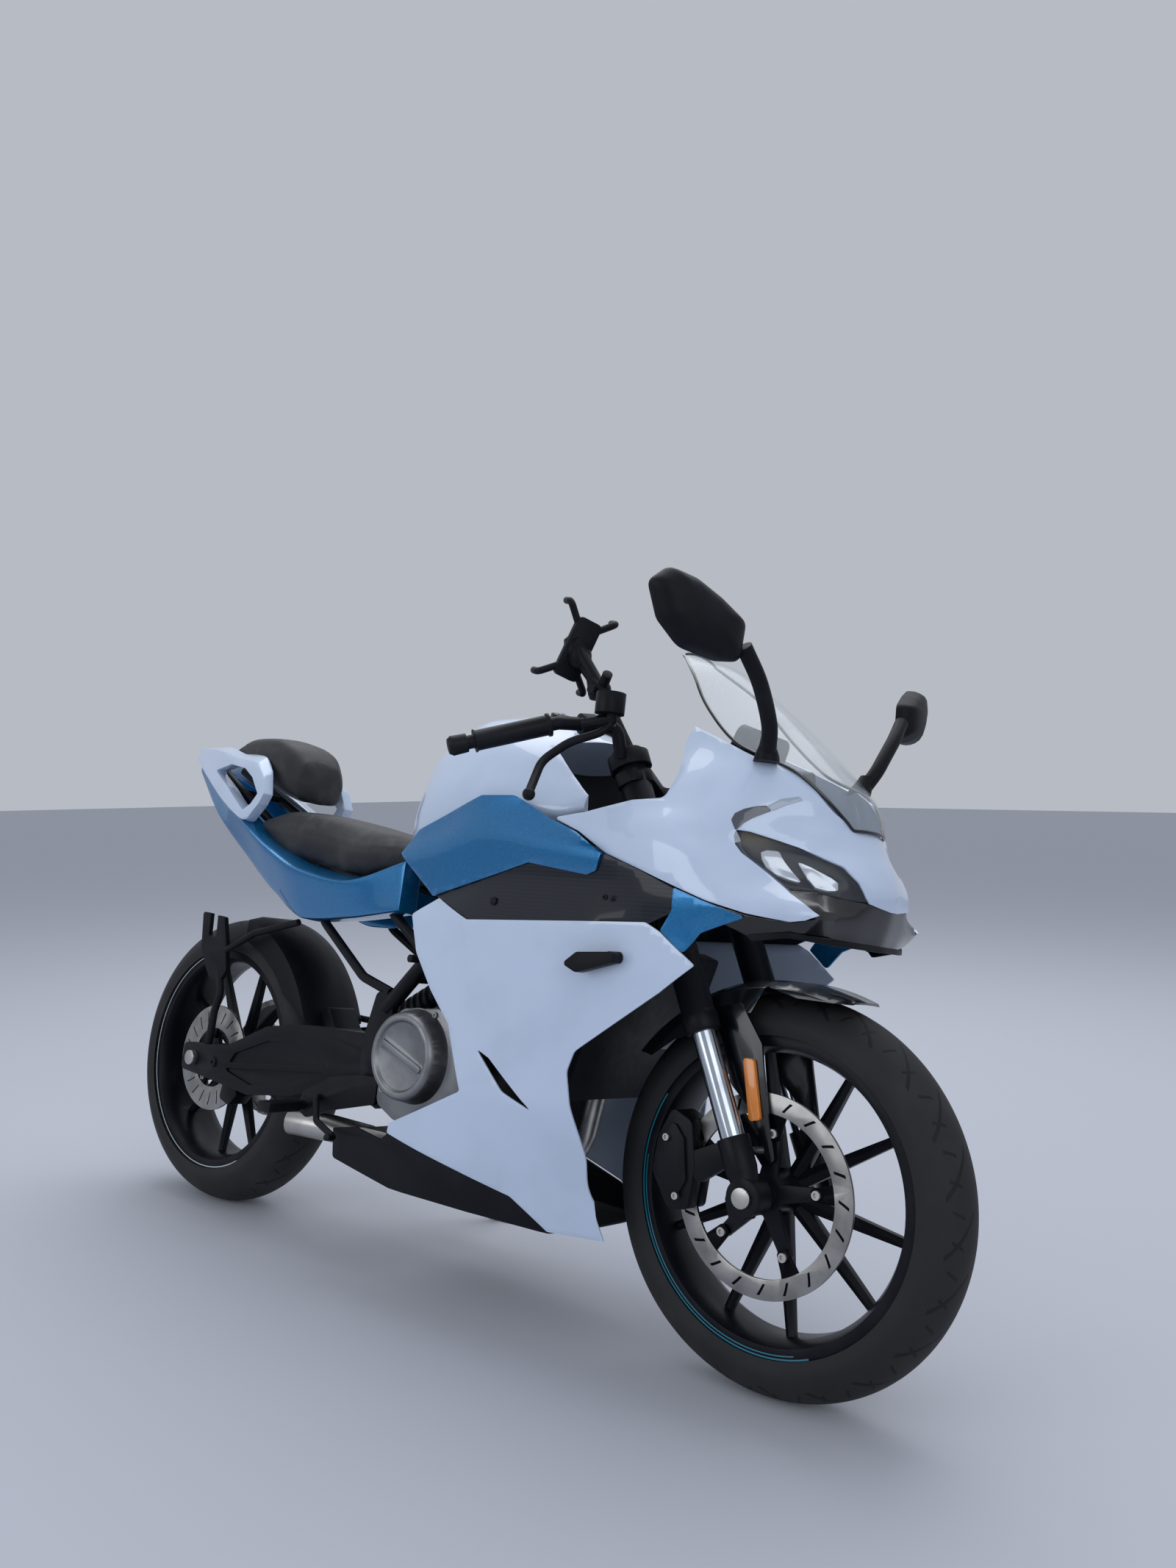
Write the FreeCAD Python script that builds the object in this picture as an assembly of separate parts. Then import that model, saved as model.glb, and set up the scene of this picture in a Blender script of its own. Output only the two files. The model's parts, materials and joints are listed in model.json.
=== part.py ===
import FreeCAD, Part
import math
import os

# A fully faired sport bike, 250 class, leaning on its side stand.
# It is modelled upright in millimetres: x forward, y to the left, z up from the ground; the body's
# x is fixed to the front axle, and the wheelbase sets where the rear axle and swingarm end lie. At the
# end every piece is leaned about the ground line and moved to the part's origin.

# Driving dimensions of the whole bike
wheelbase = 1360
front_axle_x = 1360
rake = math.radians(25)
trail = 95
lean = math.radians(10)
origin_forward = 677
origin_left = 190

# Tyres and rims: radius, half width and shoulder height of each tyre, then the 17 inch rim
front_radius = 293
front_half_width = 55
front_crown_height = 46
rear_radius = 300
rear_half_width = 71
rear_crown_height = 52
bead_radius = 218
flange_radius = 230
flange_thick = 5
barrel_thick = 5
hub_radius = 34
spoke_pairs = 5
spoke_spread = math.radians(15.5)
spoke_thick = 20
front_spoke_phase = math.radians(-25)
rear_spoke_phase = math.radians(-81)
axle_radius = 10
axle_clearance = 0.05
spigot_radius = 24

# Brakes
front_disc_radius = 146
front_disc_inner = 117
rear_disc_radius = 110
rear_disc_inner = 62
disc_thick = 5
front_disc_side = 66
rear_disc_side = 71
front_bolt_circle = 90
lug_beyond = 7
rear_bolt_circle = 50

# Fork and steering
fork_spacing = 108
outer_tube_radius = 26
stanchion_radius = 18.5
stem_radius = 15
stem_bore = 7.5
stem_bore_depth = 60
head_tube_radius = 30
lower_yoke_bottom = 770
yoke_thick = 26
upper_yoke_bottom = 966
outer_tube_bottom = 550
stanchion_bottom = 391
foot_radius = 24
foot_socket = 40
fork_top = 1030
steer_limit = 28
moving_gap = 5.5
bar_room = 152

# Chain: 15.875 mm pitch, 14 and 48 teeth
chain_pitch = 15.875
front_teeth = 14
rear_teeth = 48
chain_line = 86
sprocket_thick = 6
chain_plate = 1.5
chain_width = 12
drive_place = (644, 380)
output_radius = 10
tooth_height = 4.5
chain_cover = 1.6

# Walls, gaps and fits
skin = 4
panel_gap = 0.6
seat_gap = 0.3


def point(x, y, z):
    return FreeCAD.Vector(x, y, z)


def rounded(corners, place):
    """A closed wire through corners (u, v, corner radius); place(u, v) gives the 3-D point."""
    count = len(corners)
    runs = []
    for index in range(count):
        before = place(*corners[index - 1][:2])
        here = place(*corners[index][:2])
        after = place(*corners[(index + 1) % count][:2])
        radius = corners[index][2] if len(corners[index]) > 2 else 0
        if radius == 0:
            runs.append((here, here, None))
            continue
        back = (before - here).normalize()
        ahead = (after - here).normalize()
        half = back.getAngle(ahead) / 2
        reach = radius / math.tan(half)
        middle = (back + ahead).normalize()
        centre = here + middle * (radius / math.sin(half))
        runs.append((here + back * reach, here + ahead * reach, centre - middle * radius))
    edges = []
    for index in range(count):
        start, end, arc_middle = runs[index]
        if arc_middle is not None:
            edges.append(Part.Arc(start, arc_middle, end).toShape())
        following = runs[(index + 1) % count][0]
        if end.distanceToPoint(following) > 0.001:
            edges.append(Part.LineSegment(end, following).toShape())
    return Part.Wire(edges)


def slab(corners, side_from, side_to):
    """A plate with a side view outline of (x, z, corner radius), between two y values."""
    wire = rounded(corners, lambda x, z: point(x, side_from, z))
    return Part.Face(wire).extrude(point(0, side_to - side_from, 0))


def plate(corners, origin, along, up, thick):
    """A plate with an outline of (u, v, corner radius) on the plane of two unit vectors."""
    wire = rounded(corners, lambda u, v: origin + along * u + up * v)
    return Part.Face(wire).extrude(along.cross(up) * thick)


def polygon(points):
    return Part.makePolygon(list(points) + [points[0]])


def ruled(sections):
    """A solid with flat or ruled faces through closed polygons with the same number of corners."""
    return Part.makeLoft([polygon(section) for section in sections], True, True)


def rod(start, end, radius):
    return Part.makeCylinder(radius, start.distanceToPoint(end), start, end - start)


def turned(profile, centre, axis):
    """A solid of revolution: profile of (radius, distance along the axis), straight runs."""
    points = [point(radius, 0, along) for radius, along in profile]
    solid = Part.Face(polygon(points)).revolve(point(0, 0, 0), point(0, 0, 1), 360)
    solid.Placement = FreeCAD.Placement(centre, FreeCAD.Rotation(point(0, 0, 1), axis))
    return solid


def pipe(points, radius, bend=60):
    """A round bar along straight runs joined by arcs of the given bend radius."""
    edges = []
    start = points[0]
    for index in range(1, len(points) - 1):
        here = points[index]
        back = (points[index - 1] - here).normalize()
        ahead = (points[index + 1] - here).normalize()
        half = back.getAngle(ahead) / 2
        room = 0.45 * min(here.distanceToPoint(points[index - 1]), here.distanceToPoint(points[index + 1]))
        reach = min(bend / math.tan(half), room)
        arc_radius = reach * math.tan(half)
        middle = (back + ahead).normalize()
        centre = here + middle * (arc_radius / math.sin(half))
        enter = here + back * reach
        leave = here + ahead * reach
        edges.append(Part.LineSegment(start, enter).toShape())
        edges.append(Part.Arc(enter, centre - middle * arc_radius, leave).toShape())
        start = leave
    edges.append(Part.LineSegment(start, points[-1]).toShape())
    path = Part.Wire(edges)
    circle = Part.Wire(Part.makeCircle(radius, points[0], points[1] - points[0]))
    return path.makePipeShell([circle], True, True)


def mirrored(shape):
    return shape.mirror(point(0, 0, 0), point(0, 1, 0))


def both(shape):
    return [shape, mirrored(shape)]


def fused(shapes):
    whole = shapes[0].multiFuse(shapes[1:]) if len(shapes) > 1 else shapes[0]
    return whole.removeSplitter()


# Steering frame: distance up the steering axis, to the left, and forward of the axis
axis_up = point(-math.sin(rake), 0, math.cos(rake))
axis_forward = point(math.cos(rake), 0, math.sin(rake))
left = point(0, 1, 0)
steer_foot = point(front_axle_x + trail, 0, 0)
front_axle_place = point(front_axle_x, 0, front_radius)
rear_axle_place = point(front_axle_x - wheelbase, 0, rear_radius)
fork_offset = (front_axle_place - steer_foot).dot(axis_forward)
axle_height = (front_axle_place - steer_foot).dot(axis_up)


def steered(up, side, forward=0):
    return steer_foot + axis_up * up + left * side + axis_forward * forward


def round_wheel(x, z):
    """A function from (radius, angle, side) to a point around a wheel's axle."""
    return lambda radius, angle, side: point(x + radius * math.cos(angle), side, z + radius * math.sin(angle))


def wheel_turned(profile, axle):
    """Revolve a closed wire drawn in the x, y plane as (radius, side) about a wheel's axle."""
    solid = Part.Face(profile).revolve(point(0, 0, 0), point(0, 1, 0), 360)
    solid.translate(axle)
    return solid


def tyre(radius, half_width, crown_height, axle):
    shoulder = radius - crown_height
    bead_half = half_width * 0.8
    low = bead_radius + seat_gap
    wall = flange_radius + 3
    right_run = [point(low, -bead_half, 0), point(wall, -bead_half, 0), point(shoulder, -half_width, 0)]
    left_run = [point(shoulder, half_width, 0), point(wall, bead_half, 0), point(low, bead_half, 0)]
    edges = [Part.LineSegment(a, b).toShape() for a, b in zip(right_run, right_run[1:])]
    edges.append(Part.Arc(right_run[-1], point(radius, 0, 0), left_run[0]).toShape())
    edges += [Part.LineSegment(a, b).toShape() for a, b in zip(left_run, left_run[1:])]
    edges.append(Part.LineSegment(left_run[-1], right_run[0]).toShape())
    return wheel_turned(Part.Wire(edges), axle)


def rim(half_width, axle, phase, hub_half, disc_side, bolt_circle, carrier_side=0):
    """A cast wheel: barrel with two flanges, hub and five pairs of tapered spokes."""
    bead_half = half_width * 0.8 + 0.6
    inner = bead_radius - barrel_thick
    barrel_profile = [
        (inner, -bead_half - flange_thick), (flange_radius, -bead_half - flange_thick),
        (flange_radius, -bead_half), (bead_radius, -bead_half), (bead_radius, bead_half),
        (flange_radius, bead_half), (flange_radius, bead_half + flange_thick),
        (inner, bead_half + flange_thick), (inner - 9, bead_half - 18), (inner - 9, 18 - bead_half)]
    barrel = wheel_turned(polygon([point(r, y, 0) for r, y in barrel_profile]), axle)
    bore = axle_radius + axle_clearance
    hub_profile = [(bore, -hub_half), (24, -hub_half), (28, -30), (hub_radius, -12), (hub_radius, 12),
                   (28, 30), (24, hub_half), (bore, hub_half)]
    hub = wheel_turned(polygon([point(r, y, 0) for r, y in hub_profile]), axle)
    spot = round_wheel(axle.x, axle.z)
    pieces = [barrel, hub]
    for pair in range(spoke_pairs):
        middle = phase + pair * 2 * math.pi / spoke_pairs
        for hand in (-1, 1):
            outer_angle = middle + hand * spoke_spread
            inner_angle = middle + hand * math.radians(9)
            sections = []
            for radius, angle, half_breadth, half_depth in (
                    (hub_radius - 8, inner_angle, 12, spoke_thick * 0.75),
                    (bead_radius - 9, outer_angle, 6.5, spoke_thick * 0.5)):
                centre = spot(radius, angle, 0)
                across = point(-math.sin(outer_angle), 0, math.cos(outer_angle)) * half_breadth
                deep = left * half_depth
                slim = left * (half_depth * 0.55)
                sections.append([centre - across - slim, centre - deep, centre + across - slim,
                                 centre + across + slim, centre + deep, centre - across + slim])
            pieces.append(ruled(sections))
        lug_angle = middle + math.pi / spoke_pairs
        lug_foot = spot(18, lug_angle, 0)
        lug_tip = spot(bolt_circle, lug_angle, 0)
        out = (lug_tip - lug_foot).normalize()
        side = -disc_side
        reach = bolt_circle - 18 + lug_beyond
        lug = plate([(0, -14, 0), (reach - 10, -9, 4), (reach, -9, 8),
                     (reach, 9, 8), (reach - 10, 9, 4), (0, 14, 0)],
                    lug_foot + left * side, out, left.cross(out), 10)
        pieces.append(lug)
    carrier = wheel_turned(polygon([point(bore, -disc_side, 0), point(30, -disc_side, 0),
                                    point(30, -12, 0), point(bore, -12, 0)]), axle)
    pieces.append(carrier)
    if carrier_side:
        flange = carrier_side - seat_gap
        drive = [(bore, 12), (40, 12), (44, 50), (64, flange - 12), (64, flange), (spigot_radius, flange),
                 (spigot_radius, carrier_side + sprocket_thick), (bore, carrier_side + sprocket_thick)]
        pieces.append(wheel_turned(polygon([point(r, y, 0) for r, y in drive]), axle))
    return fused(pieces)


def brake_disc(outer, inner, bolt_circle, axle, disc_side, phase):
    """A ring with five inward ears, each with a bolt hole, and slanted slots."""
    face = -disc_side - disc_thick - seat_gap
    ring = wheel_turned(polygon([point(inner, face, 0), point(outer, face, 0),
                                 point(outer, face + disc_thick, 0), point(inner, face + disc_thick, 0)]), axle)
    spot = round_wheel(axle.x, axle.z)
    ears = []
    holes = []
    for index in range(spoke_pairs):
        angle = phase + (index + 0.5) * 2 * math.pi / spoke_pairs
        foot = spot(bolt_circle - 10, angle, face)
        out = (spot(outer, angle, face) - foot).normalize()
        reach = inner + 6 - bolt_circle + 10
        ears.append(plate([(0, -9, 7), (reach, -15, 0), (reach, 15, 0), (0, 9, 7)],
                          foot, out, left.cross(out), disc_thick))
        centre = spot(bolt_circle, angle, face - 1)
        holes.append(Part.makeCylinder(4, disc_thick + 2, centre, left))
    return fused([ring] + ears).cut(Part.makeCompound(holes))


# Chain loop: two pitch circles and their outer tangent lines
front_pitch_radius = chain_pitch / 2 / math.sin(math.pi / front_teeth)
rear_pitch_radius = chain_pitch / 2 / math.sin(math.pi / rear_teeth)


def chain_loop(offset, side):
    """The outline at an offset from the chain's pitch line, at one side position."""
    front_centre = point(drive_place[0], side, drive_place[1])
    rear_centre = point(rear_axle_place.x, side, rear_radius)
    span = front_centre - rear_centre
    slope = math.atan2(span.z, span.x)
    swing = math.asin((rear_pitch_radius - front_pitch_radius) / span.Length)
    upper = slope + math.pi / 2 - swing
    lower = slope - math.pi / 2 + swing

    def at(centre, radius, angle):
        return centre + point(math.cos(angle), 0, math.sin(angle)) * (radius + offset)

    top = (at(rear_centre, rear_pitch_radius, upper), at(front_centre, front_pitch_radius, upper))
    bottom = (at(front_centre, front_pitch_radius, lower), at(rear_centre, rear_pitch_radius, lower))
    edges = [Part.LineSegment(*top).toShape(),
             Part.Arc(top[1], at(front_centre, front_pitch_radius, slope), bottom[0]).toShape(),
             Part.LineSegment(*bottom).toShape(),
             Part.Arc(bottom[1], at(rear_centre, rear_pitch_radius, slope + math.pi), top[0]).toShape()]
    return Part.Face(Part.Wire(edges))


def chain():
    """A channel open to the sprockets: two side plates and the rollers' back between them."""
    half = chain_width / 2
    start = chain_line - half
    plate_outer = 8.5
    plate_inner = -7
    back = tooth_height + chain_cover
    whole = chain_loop(plate_outer, start).extrude(left * chain_width)
    middle = chain_loop(back, start + chain_plate).extrude(left * (chain_width - 2 * chain_plate))
    hole = chain_loop(plate_inner, start - 1).extrude(left * (chain_width + 2))
    return whole.cut(middle).cut(hole)


def sprocket(teeth, pitch_radius, centre, bore, inner_holes, thick=sprocket_thick):
    """A toothed plate; every tooth is a trapezium that stands on the root circle."""
    root = pitch_radius - 5.2
    tip = pitch_radius + tooth_height
    start = chain_line - thick / 2
    spot = round_wheel(centre.x, centre.z)
    corners = []
    step = 2 * math.pi / teeth
    for index in range(teeth):
        angle = index * step
        for radius, share in ((root, -0.30), (tip, -0.12), (tip, 0.12), (root, 0.30)):
            corners.append(spot(radius, angle + share * step, start))
    blank = Part.Face(polygon(corners)).extrude(left * thick)
    cuts = [Part.makeCylinder(bore, thick + 2, point(centre.x, start - 1, centre.z), left)]
    for index in range(inner_holes):
        angle = (index + 0.5) * 2 * math.pi / inner_holes
        cuts.append(Part.makeCylinder(14, thick + 2, spot(pitch_radius * 0.68, angle, start - 1), left))
    return blank.cut(Part.makeCompound(cuts))


# Side surface of the fairing: half width and height at eight levels of each station
# columns: x, then (half width, height) at top, crest, belt, sill, waist, flank, hem, keel
flank_stations = [
    (500, (132, 752), (148, 735), (148, 690), (156, 640), (166, 470), (168, 370), (166, 245), (140, 166)),
    (700, (160, 800), (180, 762), (172, 684), (184, 650), (192, 470), (195, 370), (186, 245), (150, 166)),
    (850, (188, 838), (204, 796), (202, 716), (206, 650), (206, 470), (206, 370), (178, 245), (146, 166)),
    (1000, (196, 832), (226, 780), (222, 716), (220, 655), (212, 470), (204, 370), (156, 245), (132, 166)),
    (1120, (214, 800), (236, 768), (234, 712), (230, 660), (216, 470), (188, 370), (138, 245), (104, 166)),
    (1230, (224, 775), (238, 742), (238, 704), (232, 668), (214, 470), (176, 370), (130, 245), (92, 166)),
    (1330, (222, 740), (230, 712), (226, 690), (214, 640), (204, 470), (168, 370), (126, 245), (86, 166)),
    (1400, (204, 735), (210, 705), (202, 688), (180, 640), (170, 470), (150, 370), (120, 245), (80, 166)),
]


def flank(depth):
    """The solid inside the side surface, drawn in by a depth, on the right side."""
    sections = []
    for station in flank_stations:
        x = station[0]
        levels = [(wide - depth, high) for wide, high in station[1:]]
        outer = [point(x, -wide, high) for wide, high in levels]
        sections.append([point(x, -20, levels[0][1])] + outer + [point(x, -20, levels[-1][1])])
    return ruled(sections)


def side_skin(outline, depth=0, wall=skin):
    """A panel of the side surface: its wall, inside a side view outline."""
    cutter = slab(outline, -300, -40)
    return flank(depth).common(cutter).cut(flank(depth + wall))


# Lines that two panels share, as (x, z, corner radius), drawn from the rear forward
belt_line = [(703, 681, 5), (957, 747, 10), (1091, 732, 12), (1111, 739, 5), (1121, 766, 3)]
sill_line = [(726, 680, 6), (824, 647, 12), (1216, 669, 14), (1262, 690, 8)]
cowl_line = [(991, 824, 3), (1056, 802, 20), (1124, 768, 3), (1202, 744, 20), (1316, 707, 16), (1374, 694, 3)]
hem_line = [(680, 266, 4), (947, 211, 20), (1014, 168, 4)]


def shifted(line, up):
    return [(x, z + up, radius) for x, z, radius in line]


half_gap = panel_gap / 2
lower_fairing_outline = [(667, 646, 6)] + shifted(sill_line[:3], -half_gap) + [
    (1242, 656, 4), (1301, 613, 3), (1246, 568, 30), (1094, 462, 24), (1078, 430, 24), (1082, 380, 40),
    (1134, 174, 6)] + shifted(hem_line[::-1], half_gap) + [
    (684, 284, 4), (858, 366, 6), (812, 470, 14), (754, 520, 60), (697, 581, 40)]
slot_outline = [(884, 440, 3), (916, 428, 8), (1012, 358, 2), (948, 380, 20)]
blue_panel_outline = [(600, 756, 6)] + shifted(belt_line, half_gap) + [
    (1056, 802 - panel_gap, 20), (990, 824 - panel_gap, 4), (900, 860, 30), (820, 860, 20), (640, 800, 20)]
insert_outline = shifted(sill_line, half_gap) + [(1262, 720, 8)] + shifted(cowl_line[3:1:-1], -panel_gap) + \
    shifted(belt_line[::-1][1:], -half_gap)
duct_outline = [(1263, 689, 3), (1243, 658, 4), (1282, 628, 8), (1309, 660, 10), (1374, 688, 3),
                (1316, 707 - panel_gap, 10), (1263, 722, 3)]


def lower_fairing():
    slot = slab(slot_outline, -300, -40)
    turned_wheel = tyre(front_radius + moving_gap, front_half_width + moving_gap, front_crown_height,
                        front_axle_place)
    turned_wheel.rotate(steer_foot, axis_up, steer_limit)
    return side_skin(lower_fairing_outline).cut(slot).cut(turned_wheel)


def belly_pan():
    """A keel shaped tray: the hem of the side surface and a floor between the two sides."""
    outline = [(520, 247, 6), (586, 260, 20), (662, 252, 10)] + shifted(hem_line, -half_gap) + [
        (1090, 160, 4), (700, 160, 60), (505, 190, 6)]
    cutter = slab(outline, -300, 0)
    hull_sections = []
    for station in flank_stations[:5]:
        x = station[0]
        hem, keel = station[-2], station[-1]
        hull_sections.append([point(x, 0, 300), point(x, -hem[0] - 2, 300), point(x, -hem[0], hem[1]),
                              point(x, -keel[0], keel[1]), point(x, -keel[0] * 0.6, keel[1] - 4),
                              point(x, 0, keel[1] - 6)])
    inner_sections = [[point(p.x, min(p.y + skin, 0), p.z if i < 2 else p.z + skin)
                       for i, p in enumerate(section)] for section in hull_sections]
    outer = ruled(hull_sections)
    inner = ruled(inner_sections)
    half = outer.common(cutter).cut(inner)
    return half, mirrored(half)


# Nose and upper cowl: plan view outline at eight levels
# columns: z, front x at the middle, then (x, half width) at shoulder, lamp corner, widest and rear
nose_levels = [
    (672, 1488, (1476, 80), (1440, 178), (1310, 222), (985, 222)),
    (700, 1496, (1486, 80), (1468, 178), (1320, 232), (985, 222)),
    (740, 1503, (1492, 76), (1400, 174), (1290, 240), (985, 210)),
    (775, 1497, (1463, 112), (1350, 188), (1270, 242), (985, 206)),
    (810, 1480, (1430, 125), (1332, 194), (1240, 234), (985, 203)),
    (850, 1456, (1432, 95), (1342, 186), (1238, 208), (985, 198)),
    (900, 1422, (1402, 108), (1340, 168), (1255, 182), (985, 176)),
    (945, 1388, (1366, 98), (1320, 152), (1255, 154), (985, 150)),
    (1010, 1325, (1300, 85), (1265, 125), (1220, 124), (985, 120)),
]


def nose(depth):
    sections = []
    for level in nose_levels:
        z, front = level[0], level[1]
        stretch = 2 if depth else 0
        height = z - stretch if z == nose_levels[0][0] else z + stretch if z == nose_levels[-1][0] else z
        right = [(x - depth, -wide + depth) for x, wide in level[2:-1]]
        rear = (level[-1][0] - depth, -level[-1][1] + depth)
        run = [(front - depth, 0)] + right + [rear, (rear[0], -rear[1])] + [(x, -y) for x, y in reversed(right)]
        sections.append([point(x, y, height) for x, y in run])
    return ruled(sections)


cowl_outline = [
    (991, 824, 3), (1060, 834, 10), (1152, 853, 20), (1207, 857, 14), (1216, 900, 30), (1199, 965, 8),
    (1206, 1001, 3), (1238, 985, 12), (1329, 946, 20), (1396, 914, 16), (1440, 860, 14), (1470, 836, 3),
    (1540, 800, 0), (1540, 717, 0), (1500, 717, 0), (1474, 699, 3), (1409, 689, 10)] + cowl_line[4:0:-1]
lamp_outline = [
    (1330, 812, 3), (1373, 804, 8), (1419, 790, 8), (1463, 775, 8), (1482, 760, 8), (1496, 727, 3), (1530, 700, 0),
    (1476, 701, 3), (1405, 733, 8), (1384, 752, 8), (1365, 767, 8), (1343, 786, 8)]
chin_outline = [
    (1330, 700, 4), (1409, 684, 10), (1474, 694, 3), (1530, 696, 0), (1530, 676, 0), (1440, 676, 3), (1370, 674, 8)]


def upper_cowl():
    shell = nose(0).cut(nose(skin))
    lamp_cut = slab(lamp_outline, -300, -70)
    return shell.common(slab(cowl_outline, -300, 300)).cut(lamp_cut).cut(mirrored(lamp_cut))


def headlamp():
    shell = nose(1).cut(nose(26))
    shape = [(x - 2 if x < 1500 else x, z, r) for x, z, r in lamp_outline]
    return shell.common(slab(shape, -300, -72)).cut(upper_cowl())


def chin():
    return nose(0).cut(nose(skin)).common(slab(chin_outline, -300, 300)).cut(slab(lamp_outline, -300, 300))


# Screen: rows from the nose up: (x, z) on the centre line and (x, half width, z) at the edge
screen_rows = [
    ((1459, 846), (1452, 62, 843)), ((1444, 892), (1414, 122, 896)), ((1405, 930), (1368, 152, 928)),
    ((1345, 985), (1290, 144, 968)), ((1270, 1050), (1222, 132, 1015)), ((1190, 1108), (1170, 104, 1078)),
    ((1112, 1136), (1110, 50, 1128))]


def windscreen():
    thick = 3
    sections = []
    for (x, z), (edge_x, wide, edge_z) in screen_rows:
        middle = point(x, 0, z)
        right_edge = point(edge_x, -wide, edge_z)
        inward = point(-0.72, 0, -0.69) * thick
        run = []
        for share in (-1, -0.75, -0.4, 0, 0.4, 0.75, 1):
            sag = share * share
            run.append(point(x + (edge_x - x) * sag, share * wide, z + (edge_z - z) * sag))
        back = [spot + inward for spot in reversed(run)]
        sections.append(run + back)
    shells = []
    for low, high in zip(sections, sections[1:]):
        count = len(low) // 2
        faces = []
        for column in range(2 * count):
            following = (column + 1) % (2 * count)
            corners = [low[column], low[following], high[following], high[column]]
            faces.append(Part.Face(polygon(corners[:3])))
            faces.append(Part.Face(polygon([corners[0], corners[2], corners[3]])))
        for section in (low, high):
            for column in range(count - 1):
                facing = 2 * count - 1 - column
                corners = [section[column], section[column + 1], section[facing - 1], section[facing]]
                faces.append(Part.Face(polygon(corners[:3])))
                faces.append(Part.Face(polygon([corners[0], corners[2], corners[3]])))
        shells.append(Part.Solid(Part.Shell(faces)))
    return fused(shells)


# Fuel tank: cross sections along x
# columns: x, bottom z, then (half width, z) at lower edge, waist, shoulder and crown, top z
tank_stations = [
    (578, 756, (118, 760), (118, 830), (92, 905), (40, 945), 950),
    (612, 756, (140, 762), (142, 850), (108, 944), (50, 994), 1002),
    (690, 775, (165, 785), (164, 872), (122, 962), (56, 1026), 1036),
    (800, 790, (184, 826), (178, 880), (134, 968), (58, 1028), 1038),
    (900, 800, (182, 834), (172, 884), (132, 958), (56, 1004), 1014),
    (980, 820, (174, 838), (160, 878), (124, 924), (54, 960), 968),
    (1016, 836, (160, 846), (150, 870), (118, 896), (50, 926), 932),
]


def fuel_tank():
    sections = []
    for x, bottom, lower, waist, shoulder, crown, top in tank_stations:
        half = [(lower[0] - 26, bottom), lower, waist, shoulder, crown]
        right = [point(x, -wide, high) for wide, high in half]
        left_run = [point(x, wide, high) for wide, high in reversed(half)]
        sections.append(right + [point(x, 0, top)] + left_run)
    sweep = Part.makeCylinder(bar_room, 400, steered(700, 0), axis_up)
    filler = turned([(0, 0), (34, 0), (34, 6), (28, 9), (0, 9)], point(850, 0, 1024), point(0.12, 0, 1))
    return fused([ruled(sections), filler]).cut(sweep)


# Tail: two wing panels over a blue cover, both as lofts along x
# columns: x, then (half width, z) at inner top, outer top, outer bottom and inner bottom
wing_stations = [
    (-262, (20, 992), (42, 988), (50, 958), (22, 950)),
    (-160, (40, 990), (68, 978), (84, 908), (60, 896)),
    (-40, (66, 970), (96, 952), (112, 846), (86, 838)),
    (50, (84, 958), (112, 938), (126, 812), (100, 806)),
    (114, (98, 900), (122, 892), (128, 838), (104, 832)),
]
wing_outline = [(-280, 1002, 0), (-160, 992, 30), (-40, 964, 60), (52, 960, 16), (92, 921, 16), (112, 868, 5),
                (100, 846, 6), (60, 806, 8), (-40, 846, 40), (-160, 906, 30), (-280, 950, 0)]
wing_window = [(-132, 926, 5), (-60, 938, 40), (12, 926, 30), (52, 905, 20), (88, 868, 5), (70, 846, 6),
               (44, 832, 6), (-50, 886, 40)]
cover_stations = [
    (-250, (20, 946), (44, 944), (44, 930), (20, 920)),
    (-100, (40, 890), (84, 876), (80, 822), (40, 810)),
    (40, (70, 822), (122, 812), (96, 738), (50, 728)),
    (160, (88, 772), (142, 756), (100, 664), (60, 656)),
    (285, (96, 728), (148, 712), (112, 616), (70, 612)),
    (420, (96, 712), (150, 696), (126, 626), (80, 622)),
    (594, (100, 742), (142, 744), (146, 650), (100, 644)),
]


def tail_strip(stations):
    sections = []
    for x, *corners in stations:
        sections.append([point(x, -wide, high) for wide, high in corners])
    return ruled(sections)


# Seats: closed forms from a side view outline with crowned sections
# columns: x, bottom z, half width at the bottom, side z, half width at the side, top z
rider_stations = [
    (92, 792, 96, 810, 112, 832), (180, 745, 110, 796, 128, 838), (300, 722, 112, 782, 128, 826),
    (420, 712, 104, 765, 120, 806), (520, 730, 84, 768, 100, 794), (577.7, 748, 56, 766, 62, 772)]
pillion_stations = [
    (-120, 966, 44, 978, 52, 990), (-30, 930, 66, 974, 78, 1006), (50, 896, 78, 958, 90, 1004),
    (106, 874, 76, 936, 86, 986), (140, 862, 56, 906, 66, 952)]


def cushion(stations):
    sections = []
    for x, bottom, low_half, side_z, side_half, top in stations:
        half = [(low_half, bottom), (side_half, side_z), (side_half * 0.72, top - 6)]
        right = [point(x, -wide, high) for wide, high in half]
        left_run = [point(x, wide, high) for wide, high in reversed(half)]
        sections.append(right + [point(x, 0, top)] + left_run)
    return ruled(sections)


lamp_half_width = 20.6


def tail_lamp():
    half = lamp_half_width
    return plate([(-half, -8, 4), (half, -8, 4), (half, 8, 4), (-half, 8, 4)], point(-250, 0, 968), left,
                 point(0, 0, 1), -12)


# Frame and running gear
frame_plate_side = 126
frame_plate_thick = 14
pivot_place = (571, 374)
arm_side = 98
arm_thick = 24
pivot_radius = 9
stand_pivot = point(478, 164, 225)
stand_foot_forward = 566
stand_foot_left = 292
stand_pin = 7
bridge_top = 392
shock_foot = (428, 404)
shock_top = (645, 534)
shock_eye_half = 22
shock_tube_radius = 11
shock_pin_radius = 6
coil_turns = 9
coil_pitch = 18


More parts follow.
